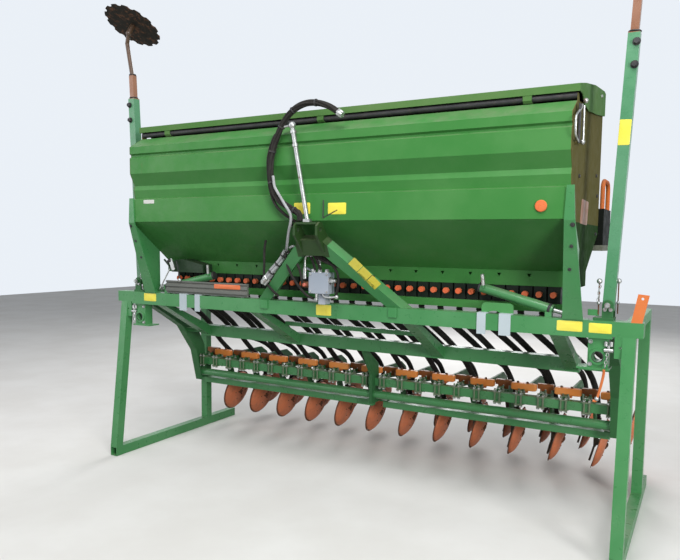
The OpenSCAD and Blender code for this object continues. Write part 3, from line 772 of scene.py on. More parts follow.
@dataclass(frozen=True)
class Steel(Look):
    """Bare or plated steel, with rust blooming where rust is above 0."""

    rough: float = 0.35
    rust: float = 0.2

    def dress(self, n: Nodes) -> None:
        """Mixes the patina and the rust, which is rough and hardly metallic."""
        dull = tuple(c * 0.72 for c in self.colour)
        patina = n.mix(n.ramp(n.noise(40.0, 6.0), 0.3, 0.7), self.colour, dull)
        grain = n.ramp(n.noise(160.0, 6.0, 0.7), 0.35, 0.7)
        rusty = n.mix(grain, NEW_RUST, OLD_RUST)
        bloom = n.ramp(n.noise(25.0, 9.0, 0.7), 0.62 - 0.5 * self.rust, 0.78 - 0.5 * self.rust)
        n.colour(n.mix(bloom, patina, rusty))
        n.link("Metallic", n.ramp(bloom, 0.0, 1.0, 0.9, 0.1))
        n.link("Roughness", n.ramp(bloom, 0.0, 1.0, self.rough, 0.85))
        n.height(n.noise(300.0, 4.0), 0.0004, 0.5)


@dataclass(frozen=True)
class Rubber(Look):
    """Rubber hose: dull, with dusty bloom."""

    def dress(self, n: Nodes) -> None:
        """Mixes the bloom over the rubber."""
        bloom = n.ramp(n.noise(25.0, 6.0), 0.42, 0.75)
        n.colour(n.mix(n.maths("MULTIPLY", bloom, 0.25), self.colour, BLOOM))
        n.link("Roughness", n.ramp(n.noise(60.0, 3.0), 0.3, 0.7, 0.6, 0.85))
        n.height(n.noise(500.0, 3.0), 0.0003, 0.4)
        n.set("Specular IOR Level", 0.2)


def above(z: float, colour: Colour, faded: Colour, top: float = OPEN, left: float = -OPEN) -> Zone:
    """A zone of all that is higher than z, up to top and to the right of left.

    Args:
        z: its lowest height.
        colour: fresh colour.
        faded: worn colour.
        top: its highest height.
        left: its lowest X.

    Returns:
        The zone.
    """
    return Zone((left, -OPEN, z), (OPEN, OPEN, top), colour, faded)


def below(z: float, colour: Colour, faded: Colour) -> Zone:
    """A zone of all that is lower than z."""
    return Zone((-OPEN, -OPEN, -OPEN), (OPEN, OPEN, z), colour, faded)


class Finish(Enum):
    """The finishes, each with its own material."""

    GREEN = Paint("green_paint_look", (0.050, 0.235, 0.072), (0.078, 0.275, 0.100), gloss=0.33, shine=0.5)
    HOPPER_GREEN = Paint("hopper_paint_look", (0.048, 0.215, 0.046), (0.072, 0.245, 0.064), shine=0.2)
    DARK_GREEN = Paint("dark_green_paint_look", (0.030, 0.13, 0.042), (0.045, 0.165, 0.055),
                       dust=0.5, rust=0.4, gloss=0.5)
    LID_GREEN = Paint("lid_paint_look", (0.080, 0.190, 0.052), (0.115, 0.21, 0.072),
                      dust=0.5, rust=0.0, gloss=0.7, shine=0.1)
    # Hopper ends: the olive-brown colour is a painted reflection of brown surroundings, and the near-black
    # zone below 1.545 m is painted shade.
    END_PAINTED_REFLECTION_AND_SHADE = Paint("hopper_end_painted_reflection_and_shade_look", (0.115, 0.105, 0.034), (0.13, 0.115, 0.042),
                      dust=0.2, rust=0.0, gloss=0.75, shine=0.05,
                      zones=(below(1.545, (0.016, 0.045, 0.010), (0.022, 0.055, 0.015)),))
    VALVE_GREY = Paint("valve_paint_look", (0.36, 0.41, 0.48), (0.42, 0.45, 0.50), dust=0.2, rust=0.1)
    ORANGE_PAINT = Paint("orange_paint_look", (0.68, 0.17, 0.045), (0.72, 0.23, 0.075), dust=0.2, rust=0.25)
    CAP_ORANGE = Paint("head_cap_look", (0.90, 0.27, 0.055), (0.92, 0.35, 0.10), dust=0.1, rust=0.25)
    YELLOW = Paint("label_yellow_look", (0.90, 0.78, 0.085), (0.90, 0.80, 0.14), dust=0.05, rust=0.0,
                   gloss=0.3)
    WHITE = Paint("label_white_look", (0.72, 0.73, 0.70), (0.66, 0.66, 0.62), dust=0.2, rust=0.0, gloss=0.3)
    FADED_LABEL = Paint("label_faded_look", (0.42, 0.24, 0.16), (0.32, 0.13, 0.075), dust=0.3, rust=0.2,
                        gloss=0.45)
    REFLECTOR = Moulding("reflector_look", (0.80, 0.16, 0.045), (0.74, 0.19, 0.06), 0.25, 0.1)
    MARKER = Paint("marker_arm_paint_look", (0.062, 0.245, 0.105), (0.100, 0.290, 0.150), gloss=0.3,
                   shine=0.6,
                   zones=(above(2.366, (0.30, 0.13, 0.065), (0.24, 0.10, 0.05), top=2.520),
                          above(2.520, (0.085, 0.050, 0.030), (0.13, 0.065, 0.035))))
    PLATFORM = Paint("platform_paint_look", (0.16, 0.17, 0.13), (0.20, 0.205, 0.17), rust=0.0, gloss=0.6,
                     shine=0.1,
                     zones=(above(1.441, (0.005, 0.007, 0.005), (0.007, 0.009, 0.007), top=1.640, left=1.26),
                            above(1.640, (0.70, 0.17, 0.035), (0.60, 0.16, 0.05), left=1.26)))
    RAIL = Paint("front_rail_paint_look", (0.13, 0.14, 0.125), (0.17, 0.175, 0.16), rust=0.2, gloss=0.5,
                 shine=0.2,
                 zones=(above(1.1065, (0.075, 0.275, 0.085), (0.10, 0.31, 0.11), left=0.0),
                        below(1.1065, (0.52, 0.60, 0.63), (0.46, 0.53, 0.56))))
    METER = Paint("metering_look", (0.010, 0.018, 0.012), (0.018, 0.024, 0.019), rust=0.0, gloss=0.5,
                  shine=0.15,
                  zones=(Zone((-OPEN, -OPEN, -OPEN), (OPEN, -0.4885, OPEN), (0.88, 0.17, 0.065),
                              (0.80, 0.19, 0.09)),))
    # Headstock: the near-black zone on its upper middle, above 1.36 m, is painted shade.
    TOWER_PAINTED_SHADE = Paint("headstock_painted_shade_look", (0.050, 0.235, 0.072), (0.078, 0.275, 0.100), gloss=0.4, shine=0.3,
                  zones=(Zone((-0.10, -OPEN, 1.36), (0.10, OPEN, OPEN), (0.018, 0.052, 0.012),
                              (0.028, 0.068, 0.018)),))
    ORANGE = Moulding("orange_plastic_look", (0.76, 0.225, 0.095), (0.62, 0.20, 0.10), 0.5, 0.25)
    RED = Moulding("red_knob_look", (0.62, 0.10, 0.06), (0.55, 0.14, 0.09), 0.35, 0.15)
    BLACK = Moulding("black_plastic_look", (0.016, 0.016, 0.018), (0.035, 0.035, 0.037))
    ZINC = Steel("zinc_look", (0.52, 0.53, 0.52), 0.36, 0.15)
    RUSTY = Steel("rusty_steel_look", (0.20, 0.17, 0.15), 0.55, 0.75)
    DARK_STEEL = Steel("marker_disc_look", (0.034, 0.031, 0.025), 0.7, 0.26)
    CLAMP_STEEL = Paint("clamp_steel_look", (0.16, 0.23, 0.13), (0.22, 0.25, 0.17), dust=0.3, rust=0.6)
    # Coulter heads: the dark brown zone on the heads behind y = 0.085 m is painted shade.
    HEAD = Paint("coulter_head_painted_shade_look", (0.68, 0.17, 0.045), (0.72, 0.23, 0.075), dust=0.15, rust=0.2,
                 zones=(Zone((-OPEN, 0.085, -OPEN), (OPEN, OPEN, OPEN), (0.22, 0.070, 0.018),
                             (0.30, 0.095, 0.024)),))
    COULTER_ARM = Paint("coulter_arm_look", (0.030, 0.13, 0.042), (0.045, 0.165, 0.055),
                        dust=0.4, rust=0.5, gloss=0.5,
                        zones=(below(0.40, (0.060, 0.042, 0.028), (0.085, 0.055, 0.035)),))
    GEARBOX = Paint("gearbox_look", (0.012, 0.034, 0.014), (0.02, 0.045, 0.02), dust=0.2, rust=0.1, gloss=0.5)
    DISC_STEEL = Steel("disc_steel_look", (0.30, 0.27, 0.25), 0.45, 0.55)
    HOSE = Rubber("hose_look", (0.022, 0.020, 0.018))
    SHEATH = Rubber("silver_sheath_look", (0.42, 0.43, 0.44))

    def material(self) -> bpy.types.Material:
        """The Blender material, made at the first call."""
        return bpy.data.materials.get(self.value.name) or self.value.build()


# Tubes and hoses


@dataclass
class SeedHoses:
    """Ribbed seed tubes, one for each row, from the metering units over the lower beam to the funnels."""

    rows: int = 12
    pitch: float = 0.250
    first_front: float = -1.4375
    first_rear: float = -1.3125
    squeeze: tuple[float, ...] = (0.87, 0.87, 0.87, 0.935, 1.0, 1.0, 1.0, 1.0)
    crest: float = 0.018
    groove: float = 0.015
    rib: float = 0.013
    front_route: Flat = (
        (-430, 1152), (-430, 1095), (-400, 1035), (-40, 850), (150, 700), (430, 480), (430, 390))
    rear_route: Flat = (
        (-430, 1152), (-430, 1100), (-395, 1050), (-20, 870), (200, 735), (610, 620), (770, 480), (770, 390))

    def tube(self, sketch: Sketch, row_x: float, route: Flat) -> None:
        """Adds one ribbed tube: its radius changes between groove and crest from circle to circle.

        Args:
            sketch: where the tube goes.
            row_x: place of the row. The route is drawn towards the middle at the metering end.
            route: (y, z) in the row's plane, in millimetres.
        """
        corners = np.column_stack([row_x * np.asarray(self.squeeze[:len(route)]), metres(route)])
        count = 4 * int(length_of(corners) / self.rib)
        radius = np.where(np.arange(count) % 4 < 2, self.crest, self.groove)
        sketch.tube(rounded_path(corners, count), radius, 9, 0, ACROSS)

    def build(self) -> None:
        """Makes the tubes, which stand for the CAD part's plain ones."""
        sketch = Sketch()
        for i in range(self.rows):
            self.tube(sketch, self.first_front + i * self.pitch, self.front_route)
            self.tube(sketch, self.first_rear + i * self.pitch, self.rear_route)
        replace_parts(sketch.build("ribbed_seed_tubes", Body.FRAME, [Finish.HOSE], 25.0), "seed_tubes")


@dataclass
class HosePost:
    """Hydraulic hoses: a tied bundle over the post, loose loops beside it and the lines down to the valve."""

    plane_y: float = -0.836
    strands: int = 5
    thick: float = 0.95 * 0.0085
    thin: float = 0.82 * 0.0085
    lay: float = 0.0098
    bundle: Flat = (
        (-42, 1553), (-42, 1590), (-110, 1622), (-190, 1668), (-228, 1745), (-234, 1850), (-212, 1950),
        (-166, 2045), (-112, 2115), (-40, 2152), (50, 2158), (130, 2130), (185, 2095))
    bundle_steps: int = 110
    bundle_turns: float = 0.9
    fitting: Flat = ((7.5, -4), (9.5, 0), (9.5, 22), (7, 30))
    tie: tuple[float, float] = (0.0195, 0.004)
    ties: tuple[float, ...] = (0.08, 0.30, 0.46, 0.60, 0.71, 0.86)
    loose: tuple[Line, ...] = (
        Line(((-171, -822, 2031), (-205, -824, 2012), (-226, -826, 1980), (-252, -828, 1900),
              (-254, -828, 1820), (-240, -828, 1720), (-205, -828, 1640), (-150, -826, 1590),
              (-105, -822, 1561), (-70, -800, 1530), (-90, -775, 1470)), 8.0, 60),
        Line(((-201, -856, 1790), (-190, -858, 1735), (-162, -858, 1690), (-120, -858, 1632),
              (-90, -856, 1585), (-92, -850, 1545), (-112, -835, 1505), (-137, -812, 1450),
              (-160, -785, 1410), (-190, -745, 1392)), 7.5, 60, 1),
        Line(((-150, -772, 1408), (-128, -776, 1416), (-92, -772, 1406), (-52, -766, 1390),
              (-20, -755, 1365)), 6.0, 30, 1),
        Line(((-130, -800, 1552), (-112, -775, 1500), (-88, -745, 1440), (-60, -735, 1390),
              (-35, -725, 1345), (-22, -712, 1290)), 7.2),
        Line(((-100, -800, 1556), (-88, -772, 1500), (-66, -742, 1440), (-40, -732, 1392),
              (-10, -722, 1350), (10, -708, 1290)), 7.2),
        Line(((-72, -742, 1415), (-30, -735, 1380), (44, -728, 1338), (138, -720, 1306),
              (225, -706, 1284), (330, -690, 1262)), 7.2),
        Line(((-48, -740, 1405), (0, -733, 1372), (60, -726, 1345), (112, -716, 1290), (118, -700, 1225),
              (98, -690, 1160), (60, -672, 1128)), 7.2),
        Line(((-192, -745, 1392), (-196, -738, 1340), (-172, -732, 1270), (-130, -722, 1205),
              (-84, -706, 1150), (-50, -680, 1128)), 7.2),
        Line(((-182, -745, 1392), (-150, -740, 1352), (-118, -735, 1310), (-104, -728, 1260),
              (-100, -720, 1215)), 7.2),
        Line(((-361, -700, 1449), (-368, -704, 1400), (-371, -702, 1320), (-374, -694, 1225),
              (-332, -682, 1165), (-296, -664, 1128)), 7.2),
    )
    post: Route = ((0, -830, 1553), (-95, -834, 2050))
    collars: tuple[float, ...] = (0.79, 0.93)
    collar: tuple[float, float] = (0.0165, 0.009)
    couplers: Route = ((-216, -712, 1384), (-257, -708, 1330), (-305, -704, 1283), (-350, -700, 1236))
    coupler: Flat = ((8, -4), (12.5, 0), (12.5, 20), (9.5, 24), (9.5, 46))
    coupler_hoses: int = 4
    coupler_hose: float = 0.0085
    coupler_steps: int = 40
    coupler_turns: float = 0.2
    coupler_lay: float = 0.0115
    coupler_ties: tuple[int, ...] = (5, 17, 30)
    coupler_tie: tuple[float, float] = (0.0215, 0.005)

    def strand(self, path: Array, phase: float, turns: float, radius: float) -> Array:
        """One hose of a bundle: the path moved sideways by a radius whose angle grows along it.

        Args:
            path: middle of the bundle.
            phase: angle at the start, in radians.
            turns: turns over the whole length.
            radius: distance from the middle.

        Returns:
            The hose's own path.
        """
        n, b = frames_along(path, BACK)
        angle = phase + 2 * np.pi * turns * np.linspace(0, 1, len(path))[:, None]
        return path + radius * (np.cos(angle) * n + np.sin(angle) * b)

    def tied_bundle(self) -> None:
        """Makes the hoses with black ties and end fittings, which stand for the CAD part's plain hose."""
        flat = metres(self.bundle)
        path = rounded_path(np.insert(flat, 1, self.plane_y, axis=1), self.bundle_steps)
        sketch = Sketch()
        for k, phase in enumerate(round_angles(self.strands)):
            strand = self.strand(path, phase, self.bundle_turns, self.lay)
            sketch.tube(strand, self.thick if k % 2 else self.thin)
            sketch.turned(metres(self.fitting), strand[-1], strand[-1] - strand[-3], 10, 1)
        tangent = unit(np.gradient(path, axis=0))
        for share in self.ties:
            at = int(share * (len(path) - 1))
            sketch.collar(path[at], tangent[at], *self.tie, 2)
        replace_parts(sketch.build("hydraulic_hoses", Body.FRAME, [Finish.HOSE, Finish.ZINC, Finish.BLACK]),
                    "hoses")

    def loose_lines(self) -> None:
        """Makes the loose lines, the tied coupler bundle and the post's collars."""
        sketch = Sketch()
        sketch.draw(self.loose)
        middle = smooth_path(metres(self.couplers), self.coupler_steps)
        for phase in round_angles(self.coupler_hoses):
            strand = self.strand(middle, phase, self.coupler_turns, self.coupler_lay)
            sketch.tube(strand, self.coupler_hose, slot=2)
            sketch.turned(metres(self.coupler), strand[-1], strand[-1] - strand[-3], 12, 3)
        tangent = unit(np.gradient(middle, axis=0))
        for at in self.coupler_ties:
            sketch.collar(middle[at], tangent[at], *self.coupler_tie, 4)
        foot, top = metres(self.post)
        for share in self.collars:
            sketch.collar(foot + share * (top - foot), top - foot, *self.collar, 3, step=0.004, edge=0.002)
        sketch.build("valve_lines", Body.FRAME,
                     [Finish.HOSE, Finish.SHEATH, Finish.SHEATH, Finish.ZINC, Finish.BLACK])

    def build(self) -> None:
        """Makes the bundle and the loose lines."""
        self.tied_bundle()
        self.loose_lines()


# Plates, fittings and fasteners


@dataclass
class MarkerFrame:
    """Turns places on a leaning marker arm, measured from its pivot, into places on the drill."""

    side: int
    pivot: Place = (1471, -570, 1170)
    lean: float = math.radians(2.6)

    def turn(self, direction: Vector) -> Array:
        """A direction on the arm, turned about Y by the lean and mirrored for the left side."""
        x, y, z = direction
        c, s = math.cos(self.lean), math.sin(self.lean)
        return np.array([self.side * (c * x + s * z), y, -s * x + c * z])

    def place(self, point: Vector) -> Array:
        """A point on the arm in millimetres, as a place on the drill in metres."""
        return self.turn(metres(point)) + at_side(self.pivot, self.side)


@dataclass
class LabelPlates:
    """Blank plates where the machine carries its printed labels.

    Each row of upright is x0, x1, z0, z1, the y of the face that it is stuck on, and its slot.
    """

    proud: float = 0.0007
    upright: tuple[tuple[int, ...], ...] = (
        (-1388, -1281, 1044, 1094, -640, 0), (-59, 39, 1033, 1093, -640, 0),
        (1256, 1370, 1044, 1092, -640, 0), (1398, 1496, 1044, 1089, -640, 0),
        (-110, -8, 1589, 1649, -790, 0), (102, 210, 1586, 1645, -790, 0),
        (-1223, -1135, 1665, 1688, -790, 3), (-795, -594, 1150, 1177, -640, 2))
    tube_middle: Place = (287.5, -724.0, 1278.5)
    tube_half: Place = (62.5, 33.0, -68.5)
    tube_foot: Place = (0, -600, 1100)
    tube_radius: float = 0.0325
    tube_pitch: float = 0.066
    tube_plate: tuple[float, float] = (0.0315, 0.030)
    headstock_lean: float = math.radians(26)
    end_plate: tuple[Place, ...] = ((1321, -416, 1598), (0, 98, -2), (0, 14, 58))
    marker_plate: Place = (0, -25, 770)
    marker_half: tuple[float, float] = (0.0245, 0.0555)
    reflector: Flat = ((26.5, 0), (26.5, 6), (24, 9), (8, 10.5))
    reflector_place: Place = (1198, -790, 1611)

    def on_tube(self, sketch: Sketch) -> None:
        """Adds three plates in a row on the front face of the headstock's right tube, which leans forward."""
        outward = np.array([0.0, -math.cos(self.headstock_lean), -math.sin(self.headstock_lean)])
        along = unit(metres(self.tube_half))
        along = unit(along - (along @ outward) * outward)
        base = metres(self.tube_foot) + outward * self.tube_radius
        middle = metres(self.tube_middle)
        middle = middle - ((middle - base) @ outward) * outward
        half_long, half_wide = self.tube_plate
        for step in (-1, 0, 1):
            sketch.plate(middle + along * step * self.tube_pitch, along * half_long,
                         np.cross(outward, along) * -half_wide, self.proud)

    def build(self) -> None:
        """Makes the plates of the frame and the one on the right marker arm."""
        sketch = Sketch()
        for *edges, slot in self.upright:
            x0, x1, z0, z1, y = metres(edges)
            sketch.plate(((x0 + x1) / 2, y, (z0 + z1) / 2), ((x1 - x0) / 2, 0, 0), (0, 0, (z1 - z0) / 2),
                         self.proud, slot)
        self.on_tube(sketch)
        sketch.plate(*metres(self.end_plate), self.proud, 1)
        sketch.turned(metres(self.reflector), metres(self.reflector_place), FORWARD, 32, 2)
        sketch.build("label_plates", Body.FRAME,
                     [Finish.YELLOW, Finish.FADED_LABEL, Finish.REFLECTOR, Finish.WHITE])
        arm = MarkerFrame(1)
        half_wide, half_high = self.marker_half
        sketch = Sketch()
        sketch.plate(arm.place(self.marker_plate), arm.turn((half_wide, 0, 0)), arm.turn((0, 0, half_high)),
                     self.proud, corner=0.1)
        sketch.build("marker_label_plate", Body.MARKER_RIGHT, [Finish.YELLOW])


@dataclass
class MarkerFittings:
    """Clamp bolts and black rings on each marker arm, and the nuts, knobs and chain at its foot."""

    clamps: Route = ((14, -25, 1060), (14, -25, 1157))
    clamp_bolt: tuple[float, float] = (0.028, 0.014)
    ring_half: float = 0.003
    ring_step: float = 0.0015
    rings: Flat = ((1206, 28.0), (1355, 23.0))
    foot: tuple[Part, ...] = (
        Bolt((1459, -613, 1150), 14, 8), Bolt((1484, -613, 1150), 14, 8), Bolt((1471, -629, 1170), 21, 12),
        Rod((1431, -606, 1126), (1431, -606, 1278), 3, 10, 2), Ball((1431, -606, 1278), 12.5),
        Ball((1431, -606, 1178), 8),
        Rod((1504, -528, 1126), (1504, -528, 1278), 3, 10, 2), Ball((1504, -528, 1278), 12.5),
        Ball((1504, -528, 1178), 8),
        Chain(((1436, -622, 1262), (1432, -622, 1222), (1430, -622, 1186)), 13, 1.8),
        Block((1385, -606, 1120), (1434, -598, 1148)))

    def arm(self, side: int, name: str, body: Body) -> None:
        """Makes what rides on one arm.

        Args:
            side: 1 for the right arm and -1 for the left one.
            name: name of the piece.
            body: the arm's body.
        """
        frame = MarkerFrame(side)
        sketch = Sketch()
        for clamp in self.clamps:
            sketch.bolt(frame.place(clamp), FORWARD, *self.clamp_bolt, 1)
        for z, radius in self.rings:
            sketch.collar(frame.place((0, 0, z)), frame.turn(UP), radius * MM, self.ring_half, 1,
                          step=self.ring_step, sides=24)
        sketch.build(name, body, [Finish.ZINC, Finish.BLACK])

    def build(self) -> None:
        """Makes the fittings of both arms and both feet."""
        self.arm(1, "marker_fittings_right", Body.MARKER_RIGHT)
        self.arm(-1, "marker_fittings_left", Body.MARKER_LEFT)
        sketch = Sketch()
        for side in SIDES:
            sketch.draw(self.foot, side)
        sketch.build("marker_foot_fittings", Body.FRAME, [Finish.ZINC, Finish.GREEN, Finish.RUSTY])


@dataclass
class DiscHubs:
    """Domed orange cover, cap, nuts and rivets on each coulter disc, which lean and toe with it."""

    rows: int = 12
    pitch: float = 0.250
    centres: tuple[tuple[str, float, float], ...] = (("front", -1.4135, 0.355), ("rear", -1.2885, 0.695))
    height: float = 0.257
    lean: float = math.radians(15)
    toe: float = math.radians(3)
    face: float = 0.0412
    cap: Flat = ((17, 0), (17, 5), (12, 10), (4, 12))
    rivet: Flat = ((4.5, -3), (4.5, 1.2), (2, 3))
    rivet_ring: float = 0.066
    nut_ring: float = 0.0275
    hub_nut: tuple[float, float] = (0.010, 0.006)
    middle: float = 0.004
    first_circle: float = 0.030
    circles: int = 17
    cover_radius: float = 0.1495
    cover_foot: float = 0.0022
    cover_rim: float = 0.0103
    cover_rise: float = 0.0310
    rim_gap: float = 0.0005
    rim_drop: float = 0.001
    scallop: float = 0.0035
    scallops: int = 20
    scallop_from: float = 0.116
    scallop_to: float = 0.142
    scallop_edge: float = 0.010
    steps_round: int = 120

    def axis(self) -> Array:
        """Direction of the discs' axles: +X, leaned about Y and then turned about Z."""
        x = math.cos(self.lean)
        return np.array([x * math.cos(self.toe), x * math.sin(self.toe), -math.sin(self.lean)])

    def cover_height(self, radius: Array | float) -> Array | float:
        """Height of the dome over the disc: the rim, plus the rise times 1 less the fourth power of r / R."""
        return self.cover_rim + self.cover_rise * (1 - (radius / self.cover_radius) ** 4)

    def cover(self, sketch: Sketch, centre: Array, axis: Array, across: Array, up: Array) -> None:
        """Adds the cover: the dome's height less a row of scallops round its rim.

        A scallop's depth is the square of a cosine of the angle times their number, times a bell in r.

        Args:
            sketch: where it goes.
            centre: middle of the disc.
            axis: direction of the axle.
            across: direction across the disc.
            up: direction up the disc.
        """
        circles = np.linspace(self.first_circle, self.cover_radius - self.rim_gap, self.circles)
        r = np.concatenate([[self.middle], circles])[:, None]
        angle = round_angles(self.steps_round)
        wave = np.maximum(np.cos(self.scallops * angle), 0.0) ** 2
        inner = np.clip((r - self.scallop_from) / self.scallop_edge, 0, 1)
        bell = inner * np.clip((self.scallop_to - r) / self.scallop_edge, 0, 1)
        height = self.cover_height(r) - self.scallop * bell * wave[None]
        rim = np.full((2, self.steps_round), self.cover_radius)
        foot = np.broadcast_to(np.array([[self.cover_rim - self.rim_drop], [self.cover_foot]]), rim.shape)
        radius = np.vstack([np.broadcast_to(r, height.shape), rim])[..., None]
        height = np.vstack([height, foot])[..., None]
        points = centre + height * axis + radius * round_points(angle, across, up)[None]
        sketch.grid(points[::-1], 2, caps=True)

    def build(self) -> None:
        """Makes one small piece for each disc, so that it turns with the disc."""
        axis = self.axis()
        across = unit(np.cross(axis, UP))
        up = np.cross(across, axis)
        outward = round_points(round_angles(6), across, up)
        for row, first, y in self.centres:
            for i in range(self.rows):
                centre = np.array([first + i * self.pitch, y, self.height])
                front = centre + axis * self.face
                skin = centre + axis * self.cover_height(self.rivet_ring)
                sketch = Sketch()
                self.cover(sketch, centre, axis, across, up)
                sketch.turned(metres(self.cap), front, axis, 20, 1)
                for k, out in enumerate(outward):
                    if k % 2 == 0:
                        sketch.bolt(front + out * self.nut_ring, axis, *self.hub_nut)
                    sketch.turned(metres(self.rivet), skin + out * self.rivet_ring, axis, 10)
                sketch.build(f"hub_fittings_{row}_{i + 1:02d}", f"disc_{row}_{i + 1:02d}",
                             [Finish.RUSTY, Finish.RUSTY, Finish.ORANGE])


@dataclass
class CoulterBarFasteners:
    """Nuts on the clamps' rods, small bolts on the orange heads, and the rear row's rounded caps."""

    clamps: int = 24
    pitch: float = 0.125
    first: float = -1.4375
    rods: tuple[float, ...] = (-14, 14)
    rod_rows: tuple[float, ...] = (-27, 37)
    nut: Flat = ((8.5, 0), (9.5, 1), (9.5, 7), (8.5, 8))
    nut_feet: tuple[float, ...] = (581, 507)
    head_bolts: tuple[float, ...] = (-28, 28)
    head_bolt: tuple[float, float] = (0.015, 0.007)
    head_y: float = 0.063
    head_z: float = 0.6304
    cap_shift: float = 0.008
    cap_z: float = 0.609
    cap_half: Place = (0.074, 0.0185, 0.0215)
    cap_power: float = 8.0
    cap_circles: int = 19
    cap_sides: int = 32

    def cap(self) -> Sketch:
        """One orange head's rounded cap: a superellipsoid, whose sines and cosines are raised to 2 / power.

        Returns:
            The cap round its own middle.
        """
        power = 2 / self.cap_power
        v = np.linspace(-np.pi / 2, np.pi / 2, self.cap_circles)[:, None]
        u = round_angles(self.cap_sides)[None]
        around = np.maximum(np.cos(v), 0.0) ** power
        along = signed_power(np.sin(v), power) * np.ones_like(u)
        points = np.stack([along, around * signed_power(np.cos(u), power),
                           around * signed_power(np.sin(u), power)], -1)
        made = Sketch()
        made.grid(points * self.cap_half)
        return made

    def build(self) -> None:
        """Makes the nuts as copies of one hexagon, and the heads' bolts and caps as copies of one each."""
        x = self.first + self.pitch * np.arange(self.clamps)
        nut = Sketch()
        nut.turned(metres(self.nut), (0, 0, 0), UP, 6)
        row, shift, y, z = np.meshgrid(x, metres(self.rods), metres(self.rod_rows), metres(self.nut_feet),
                                       indexing="ij")
        bolt = Sketch()
        bolt.bolt((0, 0, 0), UP, *self.head_bolt)
        rear = x[1::2, None]
        heads = (rear + metres(self.head_bolts)).reshape(-1, 1)
        sketch = Sketch()
        sketch.copies(nut, np.stack([row + shift, y, z], -1).reshape(-1, 3))
        sketch.copies(bolt, heads * ACROSS + (0.0, self.head_y, self.head_z), slot=1)
        sketch.build("coulter_bar_fasteners", Body.FRAME, [Finish.ZINC, Finish.RUSTY])
        caps = Sketch()
        caps.copies(self.cap(), rear * ACROSS + (self.cap_shift, self.head_y, self.cap_z))
        caps.build("coulter_head_caps", Body.FRAME, [Finish.CAP_ORANGE], 60.0)


@dataclass
class ValveFittings:
    """Fittings of the valve block, the lever beside the gearbox, and the rods and ends of the cylinders."""

    block: tuple[Part, ...] = (
        Line(((-103, -690, 1296), (-103, -690, 1345), (-98, -690, 1362), (-80, -690, 1368),
              (-31, -690, 1372), (-12, -690, 1366), (-6, -690, 1350),
              (-5, -690, 1275)), 8.5, 40, 0, 12, cut=True),
        Rod((-103, -690, 1235), (-103, -690, 1298), 12, 16),
        Line(((24, -700, 1160), (26, -704, 1146), (40, -706, 1142), (80, -708, 1143),
              (112, -708, 1147)), 5.5, 24, cut=True),
        Ball((112, -708, 1147), 11),
        Bolt((-45, -690, 1275), 26, 16, UP), Bolt((-5, -690, 1275), 26, 16, UP),
        Bolt((35, -680, 1275), 26, 16, UP),
        Rod((-120, -690, 1205), (-64, -690, 1205), 17, 16, 1),
        Rod((-90, -722, 1205), (-90, -690, 1205), 10, 12, 2),
        Bolt((60, -690, 1232), 34, 20, ACROSS),
        Rod((80, -690, 1232), (98, -690, 1232), 10),
        Bolt((-55, -710, 1170), 10, 5), Bolt((50, -710, 1170), 10, 5),
        Bolt((-55, -710, 1265), 10, 5), Bolt((50, -710, 1265), 10, 5),
        Rod((-20, -700, 1122), (-20, -700, 1162), 7.5),
        Rod((80, -800, 1660), (81, -806, 1566), 3, 8, 3), Rod((81, -808, 1566), (171, -815, 1606), 3, 8, 3))
    lever: tuple[Part, ...] = (
        Rod((-1156, -640, 1262), (-1250, -636, 1128), 4, 10),
        Rod((-1173, -640, 1303), (-1147, -644, 1318), 11, 14, 3),
        Rod((-1072, -640, 1192), (-1104, -636, 1311), 3, 8, 3),
        Ball((-1072, -642, 1192), 13))
    lever_plate: tuple[Place, ...] = ((-1136, -640, 1289), (13.5, 0, 4), (-14, 0, 36))
    cylinder: tuple[Part, ...] = (
        Rod((885, -590, 1236), (880, -600, 1292), 9.5),
        Rod((1278, -600, 1122.5), (1232, -600, 1133.5), 10.8, 16),
        Rod((1222, -599.1, 1136), (1206, -597.3, 1140), 26.2, 20, 3),
        Rod((868, -560.9, 1223), (856, -559.6, 1226), 26.2, 20, 3))

    def build(self) -> None:
        """Makes the valve's, the lever's and the cylinders' fittings as one piece."""
        sketch = Sketch()
        sketch.draw(self.block)
        sketch.draw(self.lever)
        sketch.plate(*metres(self.lever_plate), 0.006, corner=0.3, steps=24)
        for side in SIDES:
            sketch.draw(self.cylinder, side)
        sketch.build("valve_fittings", Body.FRAME, [Finish.ZINC, Finish.RUSTY, Finish.RED, Finish.BLACK])


